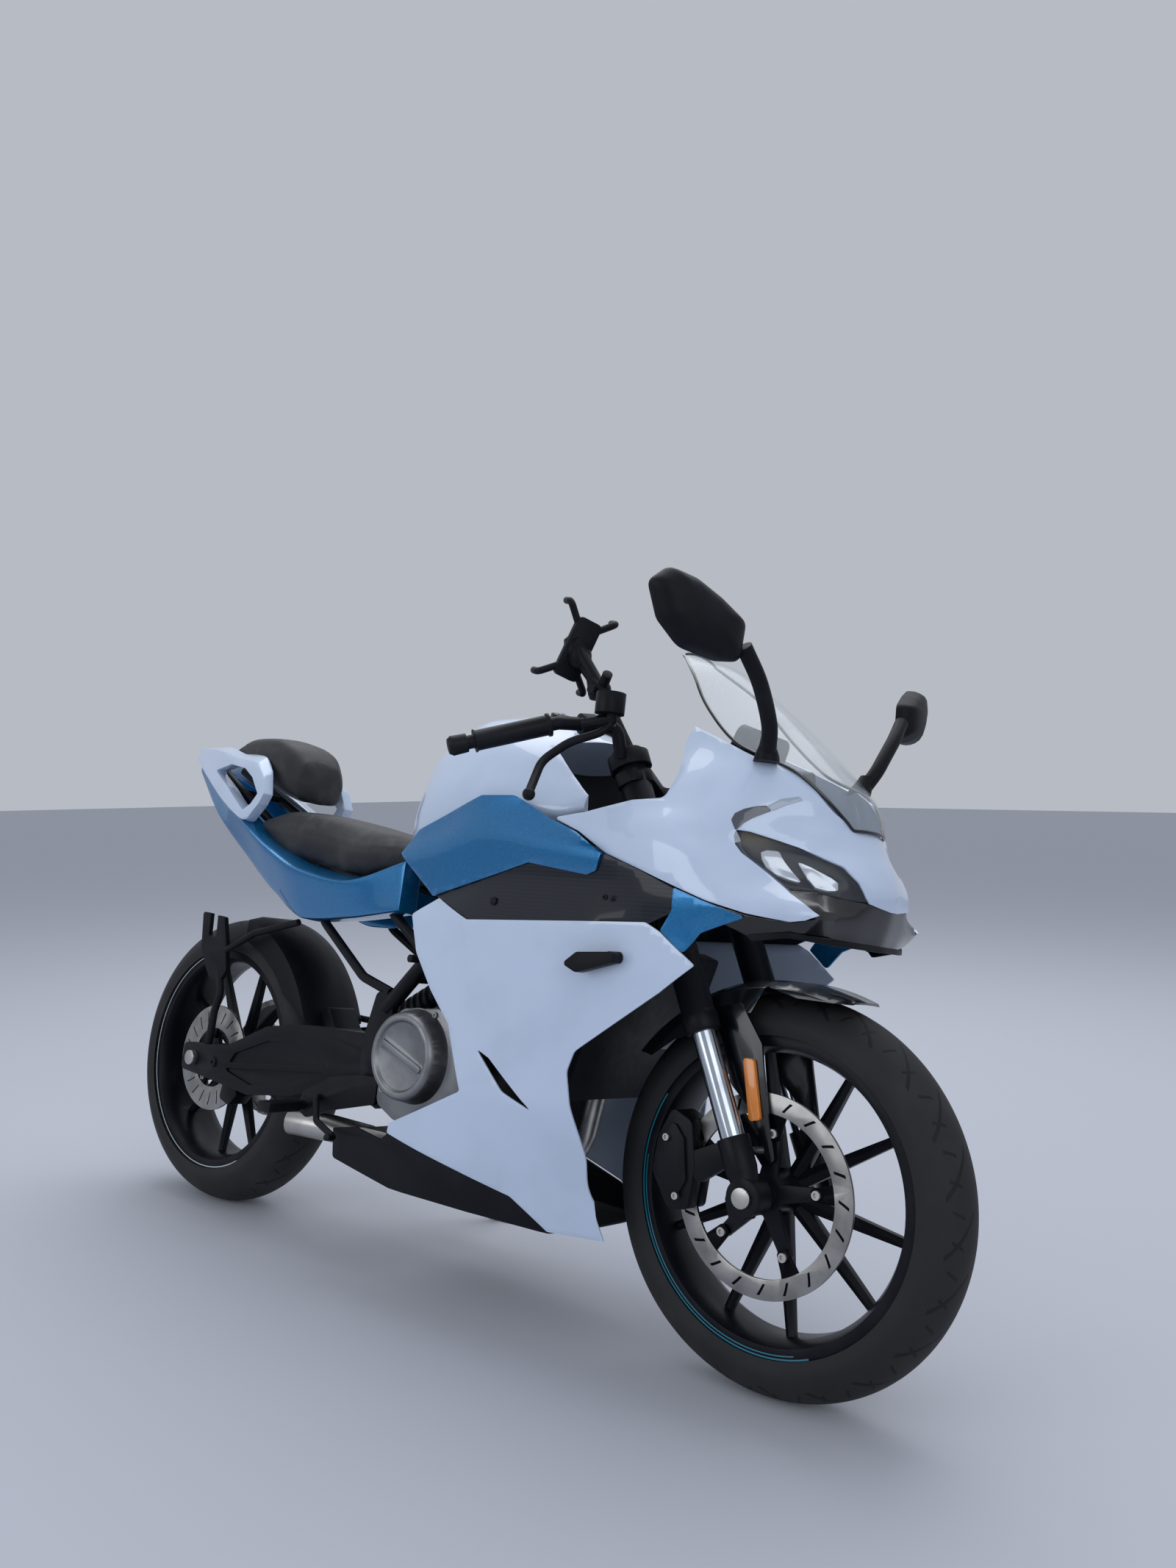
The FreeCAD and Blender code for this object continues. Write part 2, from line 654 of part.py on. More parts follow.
def leaned(shape):
    """Lean about the ground line so that both tyre crowns touch the floor, then move to the origin."""
    shape = shape.copy()
    shape.rotate(point(0, 0, 0), point(1, 0, 0), -math.degrees(lean))
    shape.rotate(point(0, 0, 0), point(0, 1, 0), math.degrees(floor_pitch))
    shape.translate(point(-origin_forward, -origin_left, floor_lift))
    return shape


def crown(half_width, height):
    return (height * height + half_width * half_width) / (2 * height)


floor_lift = crown(rear_half_width, rear_crown_height) * (1 - math.cos(lean))
front_lift = crown(front_half_width, front_crown_height) * (1 - math.cos(lean))
floor_pitch = (floor_lift - front_lift) / wheelbase


def world(spot):
    """A point of the upright bike, leaned and moved as the pieces are."""
    turned_spot = FreeCAD.Rotation(point(0, 1, 0), math.degrees(floor_pitch)).multVec(
        FreeCAD.Rotation(point(1, 0, 0), -math.degrees(lean)).multVec(spot))
    return turned_spot + point(-origin_forward, -origin_left, floor_lift)


def main_frame():
    """Head tube, two spars, two down tubes, pivot plates and cross tubes, welded as one."""
    head = turned([(head_tube_radius, 0), (head_tube_radius, 152), (stem_radius + axle_clearance, 152),
                   (stem_radius + axle_clearance, 0)], steered(805, 0), axis_up)
    spar = pipe([steered(880, -16, -14), point(975, -128, 722), point(720, -138, 612),
                 point(584, -133, 470)], 15, 120)
    down = pipe([steered(850, -14, -18), point(1010, -100, 640), point(985, -133, 520),
                 point(905, -133, 440)], 13, 90)
    start = frame_plate_side
    pivot_plate = slab([(545, 300, 20), (604, 292, 10), (608, 420, 30), (604, 500, 14), (560, 500, 14),
                        (535, 400, 30)], -start, -start - frame_plate_thick)
    reach = start + frame_plate_thick + 9
    bolt = turned([(0, -reach), (13, -reach), (13, 9 - reach), (pivot_radius, 9 - reach), (pivot_radius, reach - 9),
                   (13, reach - 9), (13, reach), (0, reach)], point(pivot_place[0], 0, pivot_place[1]), left)
    side = [spar, down, pivot_plate]
    low_tie = rod(point(580, -start - 1, 300), point(580, start + 1, 300), 11)
    engine_bolt = rod(point(915, -146, 441), point(915, 146, 441), 8)
    shock_tube = rod(point(shock_top[0], -136, shock_top[1]), point(shock_top[0], 136, shock_top[1]),
                     shock_tube_radius)
    arms = [rod(point(x, -125, z), point(x, -300, z), 7).common(flank(skin + depth))
            for x, z, depth in ((985, 520, 0), (676, 568, 0), (880, 681, 1))]
    posts = [rod(point(860, hand * 133, 665), point(860, hand * 133, 794.9), 8) for hand in (-1, 1)]
    stand_lobe = slab([(560, 330, 10), (604, 300, 10), (515, 190, 18), (450, 190, 18), (450, 240, 18)],
                      start, start + frame_plate_thick)
    pieces = side + [mirrored(piece) for piece in side + arms] + arms + posts
    pieces += [low_tie, engine_bolt, stand_lobe, shock_tube]
    stay = pipe([steered(930, 0, 24), point(1180, 0, 905), point(1262, 0, 905)], 9, 40)
    cross_bar = rod(point(1262, -240, 905), point(1262, 240, 905), 8).common(nose(skin))
    outer = fused([head] + pieces + [bolt, stay, cross_bar])
    stem_room = Part.makeCylinder(stem_radius + axle_clearance, 160, steered(801, 0), axis_up)
    return outer.cut(stem_room)


def subframe():
    upper = pipe([point(648, -126, 585), point(470, -100, 690), point(200, -76, 752), point(-60, -52, 880),
                  point(-190, -34, 945)], 10, 120)
    lower = pipe([point(590, -133, 500), point(492, -118, 520), point(330, -92, 612), point(215, -78, 740)], 9, 60)
    bar = rod(point(240, -76, 738), point(240, 76, 738), 8)
    rear_bar = rod(point(-60, -52, 880), point(-60, 52, 880), 8)
    return fused(both(upper) + both(lower) + [bar, rear_bar])


def engine_block():
    case = slab([(604, 330, 14), (604, 440, 14), (660, 470, 20), (720, 500, 20), (905, 470, 30), (935, 400, 20),
                 (905, 290, 20), (700, 262, 20), (620, 285, 10)], -118, 68)
    left_bulge = slab([(705, 300, 20), (705, 450, 20), (760, 470, 20), (880, 450, 20), (890, 320, 20)], 68, 118)
    cylinder = plate([(-58, -78, 8), (58, -78, 8), (58, 78, 8), (-58, 78, 8)], point(830, 0, 440),
                     point(0.9659, 0, -0.2588), left, 196)
    head = plate([(-68, -90, 12), (72, -90, 12), (72, 90, 12), (-68, 90, 12)], point(876, 0, 612),
                 point(0.9659, 0, -0.2588), left, 60)
    bolt = Part.makeCylinder(8, 400, point(915, -200, 441), left)
    shaft = rod(point(drive_place[0], 60, drive_place[1]), point(drive_place[0], 94, drive_place[1]),
                output_radius)
    return fused([case, left_bulge, cylinder, head, shaft]).cut(bolt)


def clutch_cover():
    """Right engine cover: a stepped outline with the round clutch housing and its raised ring."""
    base = slab([(612, 306, 20), (612, 430, 30), (650, 478, 30), (740, 488, 24), (838, 450, 30), (850, 340, 30),
                 (720, 282, 24), (660, 284, 20)], -118, -158)
    housing = turned([(0, 0), (82, 0), (80, 12), (75, 34), (70, 40), (62, 40), (58, 33), (0, 33)],
                     point(697, -157, 400), point(0, -1, 0))
    rib = plate([(-54, -6, 5), (54, -6, 5), (54, 6, 5), (-54, 6, 5)], point(697, -189, 400),
                point(0.94, 0, -0.34), point(0.34, 0, 0.94), 5)
    return fused([base, housing, rib])


def left_covers():
    generator = turned([(0, 0), (76, 0), (76, 14), (70, 38), (60, 46), (0, 46)], point(800, 118, 385), left)
    cover = slab([(612, 322, 16), (612, 430, 20), (650, 452, 20), (690, 440, 20), (690, 322, 20)], 97, 112)
    bosses = [rod(point(x, 68, z), point(x, 98, z), 8) for x, z in ((683, 434), (683, 328))]
    return fused([cover] + bosses), generator


def radiator():
    """Core behind the front wheel, its brackets to the down tubes and the upper hose."""
    up = point(0.2956, 0, 0.9553)
    core = plate([(-150, 0, 8), (150, 0, 8), (150, 258, 8), (-150, 258, 8)], point(1007, 0, 385), left, up, 28)
    hose = pipe([point(1086, -62, 612), point(1030, -62, 608), point(940, -44, 598)], 13, 40)
    brackets = [rod(point(1068, hand * 118, 560), point(992, hand * 120, 560), 7) for hand in (-1, 1)]
    return fused([core, hose] + brackets)


def exhaust():
    """Header from the cylinder head down the front and under the engine, box and right outlet."""
    header = pipe([point(953.4, 30, 622), point(990, 28, 600), point(984, 10, 420), point(970, 0, 300),
                   point(920, -10, 218), point(780, -10, 208)], 19, 60)
    box = slab([(524, 195, 20), (790, 185, 24), (790, 236, 24), (600, 250, 24), (524, 248, 20)], -118, 60)
    outlet = pipe([point(530, -86, 224), point(430, -92, 226), point(340, -118, 226)], 25, 60)
    return fused([header, box, outlet]).cut(rod(point(396, -102, 226), point(320, -124, 226), 21))


def swingarm():
    rear = rear_axle_place.x
    reach = pivot_place[0] - rear
    outline = [(rear - 42, 272, 12), (rear + 40, 266, 12), (rear + 0.34 * reach, 252, 20),
               (rear + 0.58 * reach, 272, 20), (pivot_place[0] - 51, 330, 20),
               (pivot_place[0] + 33, 350, 22), (pivot_place[0] + 33, 400, 22),
               (pivot_place[0] - 51, 418, 20), (rear + 0.57 * reach, 410, 30), (rear + 0.4 * reach, 393, 20),
               (rear + 0.2 * reach, 342, 20), (rear + 24, 330, 15), (rear - 42, 328, 12)]
    window = [(rear + 0.19 * reach, 290, 8), (rear + 0.35 * reach, 272, 14), (rear + 0.57 * reach, 294, 14),
              (rear + 0.78 * reach, 340, 10), (rear + 0.57 * reach, 376, 14), (rear + 0.42 * reach, 366, 14),
              (rear + 0.24 * reach, 328, 14)]
    rib = [(rear + 0.16 * reach, 304, 0), (rear + 0.8 * reach, 346, 0), (rear + 0.8 * reach, 334, 0),
           (rear + 0.16 * reach, 292, 0)]
    arm = slab(outline, -arm_side - arm_thick, -arm_side)
    deep = -arm_side - arm_thick + 6
    recess = slab(window, -arm_side - arm_thick - 1, deep).cut(slab(rib, -arm_side - arm_thick, deep))
    arm = arm.cut(recess)
    bridge = slab([(335, 300, 10), (410, 310, 10), (410, bridge_top, 10), (335, bridge_top, 10)],
                  -arm_side - 1, arm_side + 1)
    tube = rod(point(pivot_place[0], -arm_side - 1, pivot_place[1]),
               point(pivot_place[0], arm_side + 1, pivot_place[1]), 26)
    outer = arm_side + arm_thick
    spools = [rod(point(rear + 70, hand * (outer - 1), 300), point(rear + 70, hand * (outer + 5), 300), 11)
              for hand in (-1, 1)]
    lug = slab([(398, 378, 6), (440, 386, 10), (448, 406, 12), (430, 420, 12), (398, 392, 6)],
               -shock_eye_half - seat_gap - 9, -shock_eye_half - seat_gap)
    pin = rod(point(shock_foot[0], -shock_eye_half - 9, shock_foot[1]),
              point(shock_foot[0], shock_eye_half + 9, shock_foot[1]), shock_pin_radius)
    whole = fused([arm, mirrored(arm), bridge, tube, lug, mirrored(lug), pin] + spools)
    cuts = [Part.makeCylinder(axle_radius, 400, point(rear, -200, rear_radius), left),
            Part.makeCylinder(pivot_radius + axle_clearance, 400, point(pivot_place[0], -200, pivot_place[1]), left)]
    for hand in (-1, 1):
        face = hand * (outer + 5)
        cuts.append(rod(point(rear + 70, face + hand, 300), point(rear + 70, face - hand * 20, 300), 3.4))
    return whole.cut(Part.makeCompound(cuts))


def axle(centre, half, collars):
    """A shaft with end nuts and, where asked, collars between hub and carrier."""
    nut = 15
    profile = [(0, -half), (nut, -half), (nut, collars[0][0]), (axle_radius, collars[0][0])]
    for low, high in collars[1:-1]:
        profile += [(axle_radius, low), (nut, low), (nut, high), (axle_radius, high)]
    profile += [(axle_radius, collars[-1][0]), (nut, collars[-1][0]), (nut, half), (0, half)]
    return turned(profile, centre, left)


def rear_shock():
    """Coil-over damper from the swingarm's lugs to the frame's cross tube."""
    foot = point(shock_foot[0], 0, shock_foot[1])
    top = point(shock_top[0], 0, shock_top[1])
    up = (top - foot).normalize()
    length = top.distanceToPoint(foot)
    profile = [(0, 0), (14, 0), (14, 36)]
    for index in range(coil_turns):
        low = 36 + index * coil_pitch
        profile += [(24, low), (30, low + 3), (30, low + 9), (24, low + 12)]
    profile += [(14, length - 40), (14, length), (0, length)]
    body = turned(profile, foot, up)
    top_eye = rod(top - left * 20, top + left * 20, 20)
    foot_eye = rod(foot - left * shock_eye_half, foot + left * shock_eye_half, 14)
    holes = [rod(top - left * 30, top + left * 30, shock_tube_radius + 0.1),
             rod(foot - left * 40, foot + left * 40, shock_pin_radius + 0.1)]
    return fused([body, top_eye, foot_eye]).cut(Part.makeCompound(holes))


bracket_side = 108


def rear_hugger():
    """A shell over the tyre carried by the swingarm, with the uprights beside the wheel."""
    inner = rear_radius + 12
    rear = rear_axle_place.x
    profile = [(inner - 50, -77), (inner - 8, -74), (inner, -40), (inner, 40), (inner - 8, 74), (inner - 50, 77),
               (inner - 50, 79.5), (inner - 6, 76.5), (inner + 3, 42), (inner + 3, -42), (inner - 6, -76.5),
               (inner - 50, -79.5)]
    shell = wheel_turned(polygon([point(r, y, 0) for r, y in profile]), rear_axle_place)
    keep = slab([(rear + 60, 660, 20), (rear + 262, 640, 20), (rear + 440, 400, 20), (rear + 330, 380, 6),
                 (rear + 240, 440, 30), (rear + 60, 540, 20)], -120, 120)
    shell = shell.common(keep)
    foot = slab([(284, 420, 4), (300, bridge_top + seat_gap, 4), (396, bridge_top + seat_gap, 2),
                 (396, bridge_top + 6, 2), (336, bridge_top + 10, 10), (300, 452, 10)], -34, 34)
    tyre_room = Part.makeCylinder(inner + 1, 200, point(rear, -100, rear_radius), left)
    side = -bracket_side
    bracket = slab([(rear - 57, 607, 6), (rear + 22, 600, 6), (rear + 40, 545, 12), (rear + 53, 488, 8),
                    (rear + 38, 468, 8), (rear, 468, 8), (rear - 18, 486, 8), (rear - 46, 530, 10)],
                   side - 5, side + 5)
    notch = slab([(rear - 30, 620, 0), (rear - 4, 620, 0), (rear + 2, 556, 6), (rear - 26, 556, 6)],
                 side - 6, side + 6)
    upright = pipe([point(rear + 24, side, 331.5), point(rear + 27, side, 400), point(rear + 40, side, 440),
                    point(rear + 26, side, 485)], 8, 30)
    stay = pipe([point(rear + 36, side, 530), point(rear + 124, side + 3, 574), point(rear + 250, -95, 607)], 7, 60)
    return fused([shell, foot.cut(tyre_room)]), fused([bracket.cut(notch), upright, stay])


def footpegs(hand):
    """Hanger, peg and pedal of one side."""
    side = -(frame_plate_side + frame_plate_thick)
    hanger = slab([(598, 300, 8), (600, 348, 8), (552, 346, 8), (470, 330, 20), (398, 292, 14), (385, 258, 14),
                   (415, 246, 14), (480, 270, 20)], side, side - 8)
    peg = fused([rod(point(405, side - 7, 268), point(405, side - 30, 268), 9),
                 slab([(388, 258, 4), (422, 258, 4), (422, 277, 4), (388, 277, 4)], side - 28, side - 100)])
    pedal = pipe([point(452, side - 7, 290), point(452, side - 20, 290), point(480, side - 36, 252),
                  point(540, side - 40, 232), point(548, side - 66, 236)], 6, 16)
    whole = fused([hanger, peg, pedal])
    return whole if hand < 0 else mirrored(whole)


def rear_caliper():
    face = -rear_disc_side - disc_thick - seat_gap
    rear = rear_axle_place.x
    body = slab([(rear + 70, 226, 8), (rear + 104, 216, 8), (rear + 126, 240, 8), (rear + 112, 276, 8),
                 (rear + 78, 270, 6)], face - 20, face + 24)
    slot = slab([(rear - 20, 180, 0), (rear + 112, 180, 0), (rear + 112, 300, 0), (rear - 20, 300, 0)], face - 2,
                face + disc_thick + 2)
    sweep = Part.makeCylinder(rear_disc_radius + 4, disc_thick + 4, point(rear, face - 2, rear_radius), left)
    carrier = slab([(rear + 78, 262, 6), (rear + 112, 252, 6), (rear + 112, 290, 6), (rear + 70, 300, 6)],
                   seat_gap - arm_side, face - 14)
    return fused([body, carrier]).cut(slot.common(sweep))


def triple_clamps():
    """Both yokes, the hollow stem and its nut."""
    pieces = []
    for bottom, thick in ((lower_yoke_bottom, yoke_thick), (upper_yoke_bottom, 22)):
        outline = [(-fork_spacing - 30, fork_offset + 18, 18), (-fork_spacing - 30, fork_offset - 22, 18),
                   (-fork_spacing + 20, fork_offset - 30, 30), (-34, -26, 20), (34, -26, 20),
                   (fork_spacing - 20, fork_offset - 30, 30), (fork_spacing + 30, fork_offset - 22, 18),
                   (fork_spacing + 30, fork_offset + 18, 18), (fork_spacing - 10, fork_offset + 30, 24),
                   (0, 26, 30), (10 - fork_spacing, fork_offset + 30, 24)]
        face = Part.Face(rounded(outline, lambda u, v: steered(bottom, u, v)))
        pieces.append(face.extrude(axis_up * thick))
    pieces.append(turned([(0, 0), (stem_radius, 0), (stem_radius, 236), (0, 236)],
                         steered(lower_yoke_bottom, 0), axis_up))
    pieces.append(turned([(0, 0), (20, 0), (20, 12), (0, 12)], steered(upper_yoke_bottom + 21, 0), axis_up))
    whole = fused(pieces)
    bore = Part.makeCylinder(stem_bore, stem_bore_depth + 5, steered(lower_yoke_bottom - 5, 0), axis_up)
    legs = [Part.makeCylinder(outer_tube_radius, 400, steered(lower_yoke_bottom - 60, side, fork_offset), axis_up)
            for side in (-fork_spacing, fork_spacing)]
    return whole.cut(Part.makeCompound([bore] + legs))


def fork_outer_tubes():
    run = fork_top - outer_tube_bottom
    profile = [(stanchion_radius, 0), (outer_tube_radius, 0), (outer_tube_radius + 2, 4), (outer_tube_radius + 2, 26),
               (outer_tube_radius, 32), (outer_tube_radius, run), (10, run), (10, run - 8), (stanchion_radius, run - 8)]
    return [turned(profile, steered(outer_tube_bottom, hand * fork_spacing, fork_offset), axis_up) for hand in (-1, 1)]


def fork_stanchions():
    """The chrome tubes that slide in the upper legs and stand in the feet."""
    radius = stanchion_radius - axle_clearance
    return [turned([(0, 0), (radius, 0), (radius, 360), (0, 360)],
                   steered(stanchion_bottom - foot_socket, hand * fork_spacing, fork_offset), axis_up) for hand in (-1, 1)]


def fork_feet():
    """Cast feet with the axle eyes and the tubes' sockets."""
    feet = []
    for hand in (-1, 1):
        side = hand * fork_spacing
        tall = stanchion_bottom - axle_height - 16
        foot = turned([(0, 0), (19.5, 0), (foot_radius, 24), (foot_radius, tall), (0, tall)],
                      steered(axle_height + 16, side, fork_offset), axis_up)
        eye = rod(point(front_axle_x, side - 20, front_radius), point(front_axle_x, side + 20, front_radius), 27)
        pinch = plate([(-34, -28, 6), (-6, -30, 6), (-6, 10, 6), (-30, 14, 10)],
                      point(front_axle_x, side - 16, front_radius), axis_forward, axis_up, -32)
        hole = Part.makeCylinder(axle_radius, 80, point(front_axle_x, side - 40, front_radius), left)
        socket = Part.makeCylinder(stanchion_radius, foot_socket + 2,
                                   steered(stanchion_bottom - foot_socket - seat_gap, side, fork_offset), axis_up)
        feet.append(fused([foot, eye, pinch]).cut(hole).cut(socket))
    return feet


def handlebars():
    """Raised clip-on bars: clamp on each fork tube, bar, grip and bar end."""
    bars = []
    for hand in (-1, 1):
        clamp = turned([(outer_tube_radius, 0), (outer_tube_radius + 9, 0), (outer_tube_radius + 9, 26),
                        (outer_tube_radius, 26)], steered(996, hand * fork_spacing, fork_offset), axis_up)
        riser = pipe([steered(1009, hand * (fork_spacing + 31), fork_offset + 6), point(1062, hand * 152, 985),
                      point(1020, hand * 250, 970), point(930, hand * 361, 917)], 11, 24)
        along = point(-0.6, hand * 0.74, -0.353).normalize()
        grip = turned([(10, 0), (19, 0), (19, 4), (16.5, 6), (16.5, 120), (19, 124), (10, 124)],
                      point(1020, hand * 250, 970) + along * 14, along)
        end = turned([(0, 0), (15, 0), (16, 24), (12, 30), (0, 30)], point(930, hand * 361, 917) - along * 2, along)
        leg = Part.makeCylinder(outer_tube_radius, 200, steered(900, hand * fork_spacing, fork_offset), axis_up)
        bars.append(fused([clamp, riser, grip, end]).cut(leg))
    return bars


def levers():
    """Perch, curved lever with its ball end and, on the right, the brake reservoir."""
    pieces = []
    for hand in (-1, 1):
        perch = fused([rod(point(1040, hand * 214, 975), point(1089, hand * 196, 984), 11),
                       turned([(11.3, 0), (17, 0), (17, 24), (11.3, 24)], point(1045, hand * 192, 979),
                              point(-42, hand * 98, -15))])
        blade = pipe([point(1089, hand * 196, 985), point(1080, hand * 210, 962), point(1040, hand * 242, 940),
                      point(1024, hand * 284, 902), point(1040, hand * 322, 848)], 7, 60)
        ball = Part.makeSphere(10, point(1041, hand * 324, 843))
        group = [perch, blade, ball]
        if hand < 0:
            group.append(turned([(0, 0), (24, 0), (24, 34), (0, 34)], point(1085, -204, 992), point(0, 0, 1)))
            group.append(rod(point(1087, -198, 980), point(1086, -200, 993), 9))
        pieces.append(fused(group))
    return pieces


def around_front(corners, side_from, side_to):
    """A plate between two y values, its outline measured from the front axle."""
    return slab([(front_axle_x + x, front_radius + z, radius) for x, z, radius in corners], side_from, side_to)


def front_mudguard():
    """Arched shell over the tyre with a side blade in front of each fork leg."""
    inner = front_radius + 15
    half = 66
    profile = [(inner - 46, -half - 10), (inner - 12, -half), (inner, -34), (inner, 34), (inner - 12, half),
               (inner - 46, half + 10), (inner - 46, half + 13), (inner - 9, half + 3), (inner + 4, 36),
               (inner + 4, -36), (inner - 9, -half - 3), (inner - 46, -half - 13)]
    shell = wheel_turned(polygon([point(r, y, 0) for r, y in profile]), front_axle_place)
    spot = round_wheel(front_axle_x, front_radius)
    edge = [spot(inner + reach, math.radians(angle), -120) for reach, angle in (
        (60, 66), (-2, 70), (-18, 84), (-6, 95), (-60, 101), (-60, 118), (-40, 131), (-30, 142), (60, 150), (140, 108))]
    keep = Part.Face(polygon(edge)).extrude(left * 240)
    shell = shell.common(keep)
    blades = []
    for hand in (-1, 1):
        blades.append(around_front([(-110, 258, 8), (-60, 272, 10), (-18, 215, 8), (-12, 181, 24), (18, 50, 6), (2, 44, 6),
                                    (-30, 120, 30), (-66, 150, 20), (-84, 205, 12)], hand * 74, hand * 79))
        blades.append(rod(point(front_axle_x, hand * 78, front_radius + 64),
                          point(front_axle_x - 20, hand * 92, front_radius + 60), 6))
    feet = [Part.makeCylinder(foot_radius, 160, steered(axle_height + 16, hand * fork_spacing, fork_offset), axis_up)
            for hand in (-1, 1)]
    return fused([shell] + blades).cut(Part.makeCompound(feet))


def reflectors():
    return [around_front([(-44, 192, 5), (-25, 192, 5), (-5, 106, 5), (-24, 102, 5)], hand * 79.3, hand * 88)
            for hand in (-1, 1)]


def front_caliper():
    """Radial caliper behind the fork leg, with its bracket to the foot."""
    face = -front_disc_side - disc_thick - seat_gap
    body = around_front([(-180, 3, 14), (-174, 57, 14), (-153, 101, 10), (-116, 86, 14), (-104, 20, 10),
                         (-110, -43, 10), (-146, -47, 14)], face - 26, face + 24)
    rib = around_front([(-170, 8, 10), (-165, 54, 10), (-146, 84, 8), (-124, 60, 10), (-114, 0, 10), (-132, -34, 10)],
                       face - 32, face - 24)
    sweep = Part.makeCylinder(front_disc_radius + 3, disc_thick + 3, point(front_axle_x, face - 1.5, front_radius), left)
    arm = around_front([(-124, 37, 8), (-42, 76, 8), (-30, 46, 8), (-98, -3, 8)], face - 25, face - 10)
    legs = Part.makeCylinder(foot_radius, 90, steered(axle_height + 20, -fork_spacing, fork_offset), axis_up)
    tube = Part.makeCylinder(stanchion_radius, 120, steered(stanchion_bottom - 4, -fork_spacing, fork_offset), axis_up)
    return fused([body, rib, arm]).cut(sweep).cut(legs).cut(tube)


def phone_holder():
    """Ball joint stalk on the top yoke with a clawed cradle that faces the rider."""
    foot = steered(upper_yoke_bottom + 22, -52, 12)
    joint = point(952, -66, 1070)
    stalk = pipe([foot, foot + point(-10, -8, 40), joint], 9, 20)
    base = turned([(0, 0), (18, 0), (18, 10), (0, 10)], foot, axis_up)
    ball = Part.makeSphere(17, joint)
    knob = rod(joint, joint + point(26, -20, 22), 9)
    up = point(0.34, 0.1, 0.935).normalize()
    across = point(0.5, 0.866, 0)
    across = (across - up * across.dot(up)).normalize()
    facing = across.cross(up)
    centre = point(888, -72, 1146)
    cradle = plate([(-24, -56, 10), (24, -56, 10), (24, 56, 10), (-24, 56, 10)], centre, across, up, 14)
    yoke = plate([(-15, -20, 8), (15, -20, 8), (15, 20, 8), (-15, 20, 8)], centre + facing * 12, across, up, 12)
    arm = rod(joint, centre + facing * 16, 11)
    claws = []
    for u, v in ((-48, 72), (48, 72), (-48, -66), (48, -66)):
        start = centre + across * (u * 0.4) + up * (v * 0.6) + facing * 5
        tip = centre + across * u + up * v + facing * 5
        claws.append(pipe([start, tip, tip - facing * 26], 6.5, 9))
    return fused([stalk, base, ball, knob, cradle, yoke, arm] + claws)


def cockpit():
    """Dash panel with the instrument, and the inner trim on both sides of the steering head."""
    screen = plate([(-74, 0, 14), (74, 0, 14), (66, 84, 18), (-66, 84, 18)], point(1215, 0, 924), left,
                   point(0.34, 0, 0.94), 22)
    wings = []
    for hand in (-1, 1):
        wings.append(slab([(1196, 868, 8), (1300, 880, 8), (1290, 952, 8), (1206, 958, 8)], hand * 104, hand * 108))
        wings.append(rod(point(1240, hand * 66, 925), point(1240, hand * 106, 925), 5))
    shape = fused([screen] + wings)
    bar = Part.makeCylinder(8, 500, point(1262, -250, 905), left)
    return shape.cut(bar).cut(upper_cowl_solid)


mirror_outline = [(6, 34, 16), (10, -20, 10), (46, -26, 30), (108, -18, 40), (146, 14, 24), (166, 64, 16), (140, 88, 14),
                  (100, 82, 50), (54, 62, 60)]
mirror_sweep = {-1: math.radians(24), 1: math.radians(15)}


def mirror(hand, *carriers):
    """Stalk and housing of one mirror, drawn on the right; each is swept back by its own angle."""
    root = point(1352, -260, 1052)
    base = turned([(0, 0), (19, 0), (12, 28), (0, 28)], point(1352, -154, 925), point(0.25, -0.35, 0.9))
    stalk = pipe([point(1355, -158, 936), point(1364, -190, 985), root + point(0, -8, -6)], 10, 60)
    sweep = mirror_sweep[hand]
    out = point(-math.sin(sweep), -math.cos(sweep), 0)
    ahead = point(math.cos(sweep), -math.sin(sweep), 0)
    up = point(0, 0, 1)
    rim = rounded(mirror_outline, lambda u, v: root + out * u + up * v - ahead * 10)
    shell = Part.makeLoft([rim, Part.Wire([edge.translated(ahead * 12) for edge in rim.Edges])], True, True)
    dome = rounded([(84 + (u - 84) * 0.62, 32 + (v - 32) * 0.62, radius * 0.5) for u, v, radius in mirror_outline],
                   lambda u, v: root + out * u + up * v + ahead * 26)
    waist = rounded(mirror_outline, lambda u, v: root + out * u + up * v + ahead * 2)
    housing = Part.makeLoft([waist, dome], True, True)
    whole = fused([base, stalk, shell, housing])
    for carrier in (nose(0),) + carriers:
        whole = whole.cut(carrier)
    return whole if hand < 0 else mirrored(whole)


def indicators():
    pods = []
    for hand in (-1, 1):
        stem = rod(point(1172, hand * 226.5, 612), point(1166, hand * 246, 611), 9)
        pod = slab([(1180, 604, 6), (1178, 620, 6), (1110, 614, 12), (1084, 594, 5), (1112, 583, 10)],
                   hand * 236, hand * 254)
        pods.append(fused([stem, pod]))
    return pods


def side_stand():
    """Boss on its pin, leg and foot plate, drawn on the leaned bike with the foot on the floor."""
    pivot = world(stand_pivot)
    foot = point(stand_foot_forward - origin_forward, stand_foot_left - origin_left, 0)
    leg_way = foot - pivot
    axis = stand_axis()
    boss = turned([(stand_pin + axle_clearance, -9), (17, -9), (17, 9), (stand_pin + axle_clearance, 9)], pivot, axis)
    start = pivot + leg_way * (15 / leg_way.Length)
    leg = rod(start, foot + point(-6, -6, 10), 9)
    pad = plate([(-34, -20, 10), (30, -16, 14), (30, 20, 14), (-34, 18, 10)], foot, point(1, 0, 0), left, 7)
    whole = fused([boss, leg, pad])
    return whole.cut(Part.makeCylinder(stand_pin + axle_clearance, 80, pivot - axis * 40, axis))


def stand_axis():
    """Hinge line square to the leg both when it is down and when it is folded back."""
    pivot = world(stand_pivot)
    foot = point(stand_foot_forward - origin_forward, stand_foot_left - origin_left, 0)
    down = foot - pivot
    folded = point(-0.985, 0.16, -0.02)
    return down.cross(folded).normalize()


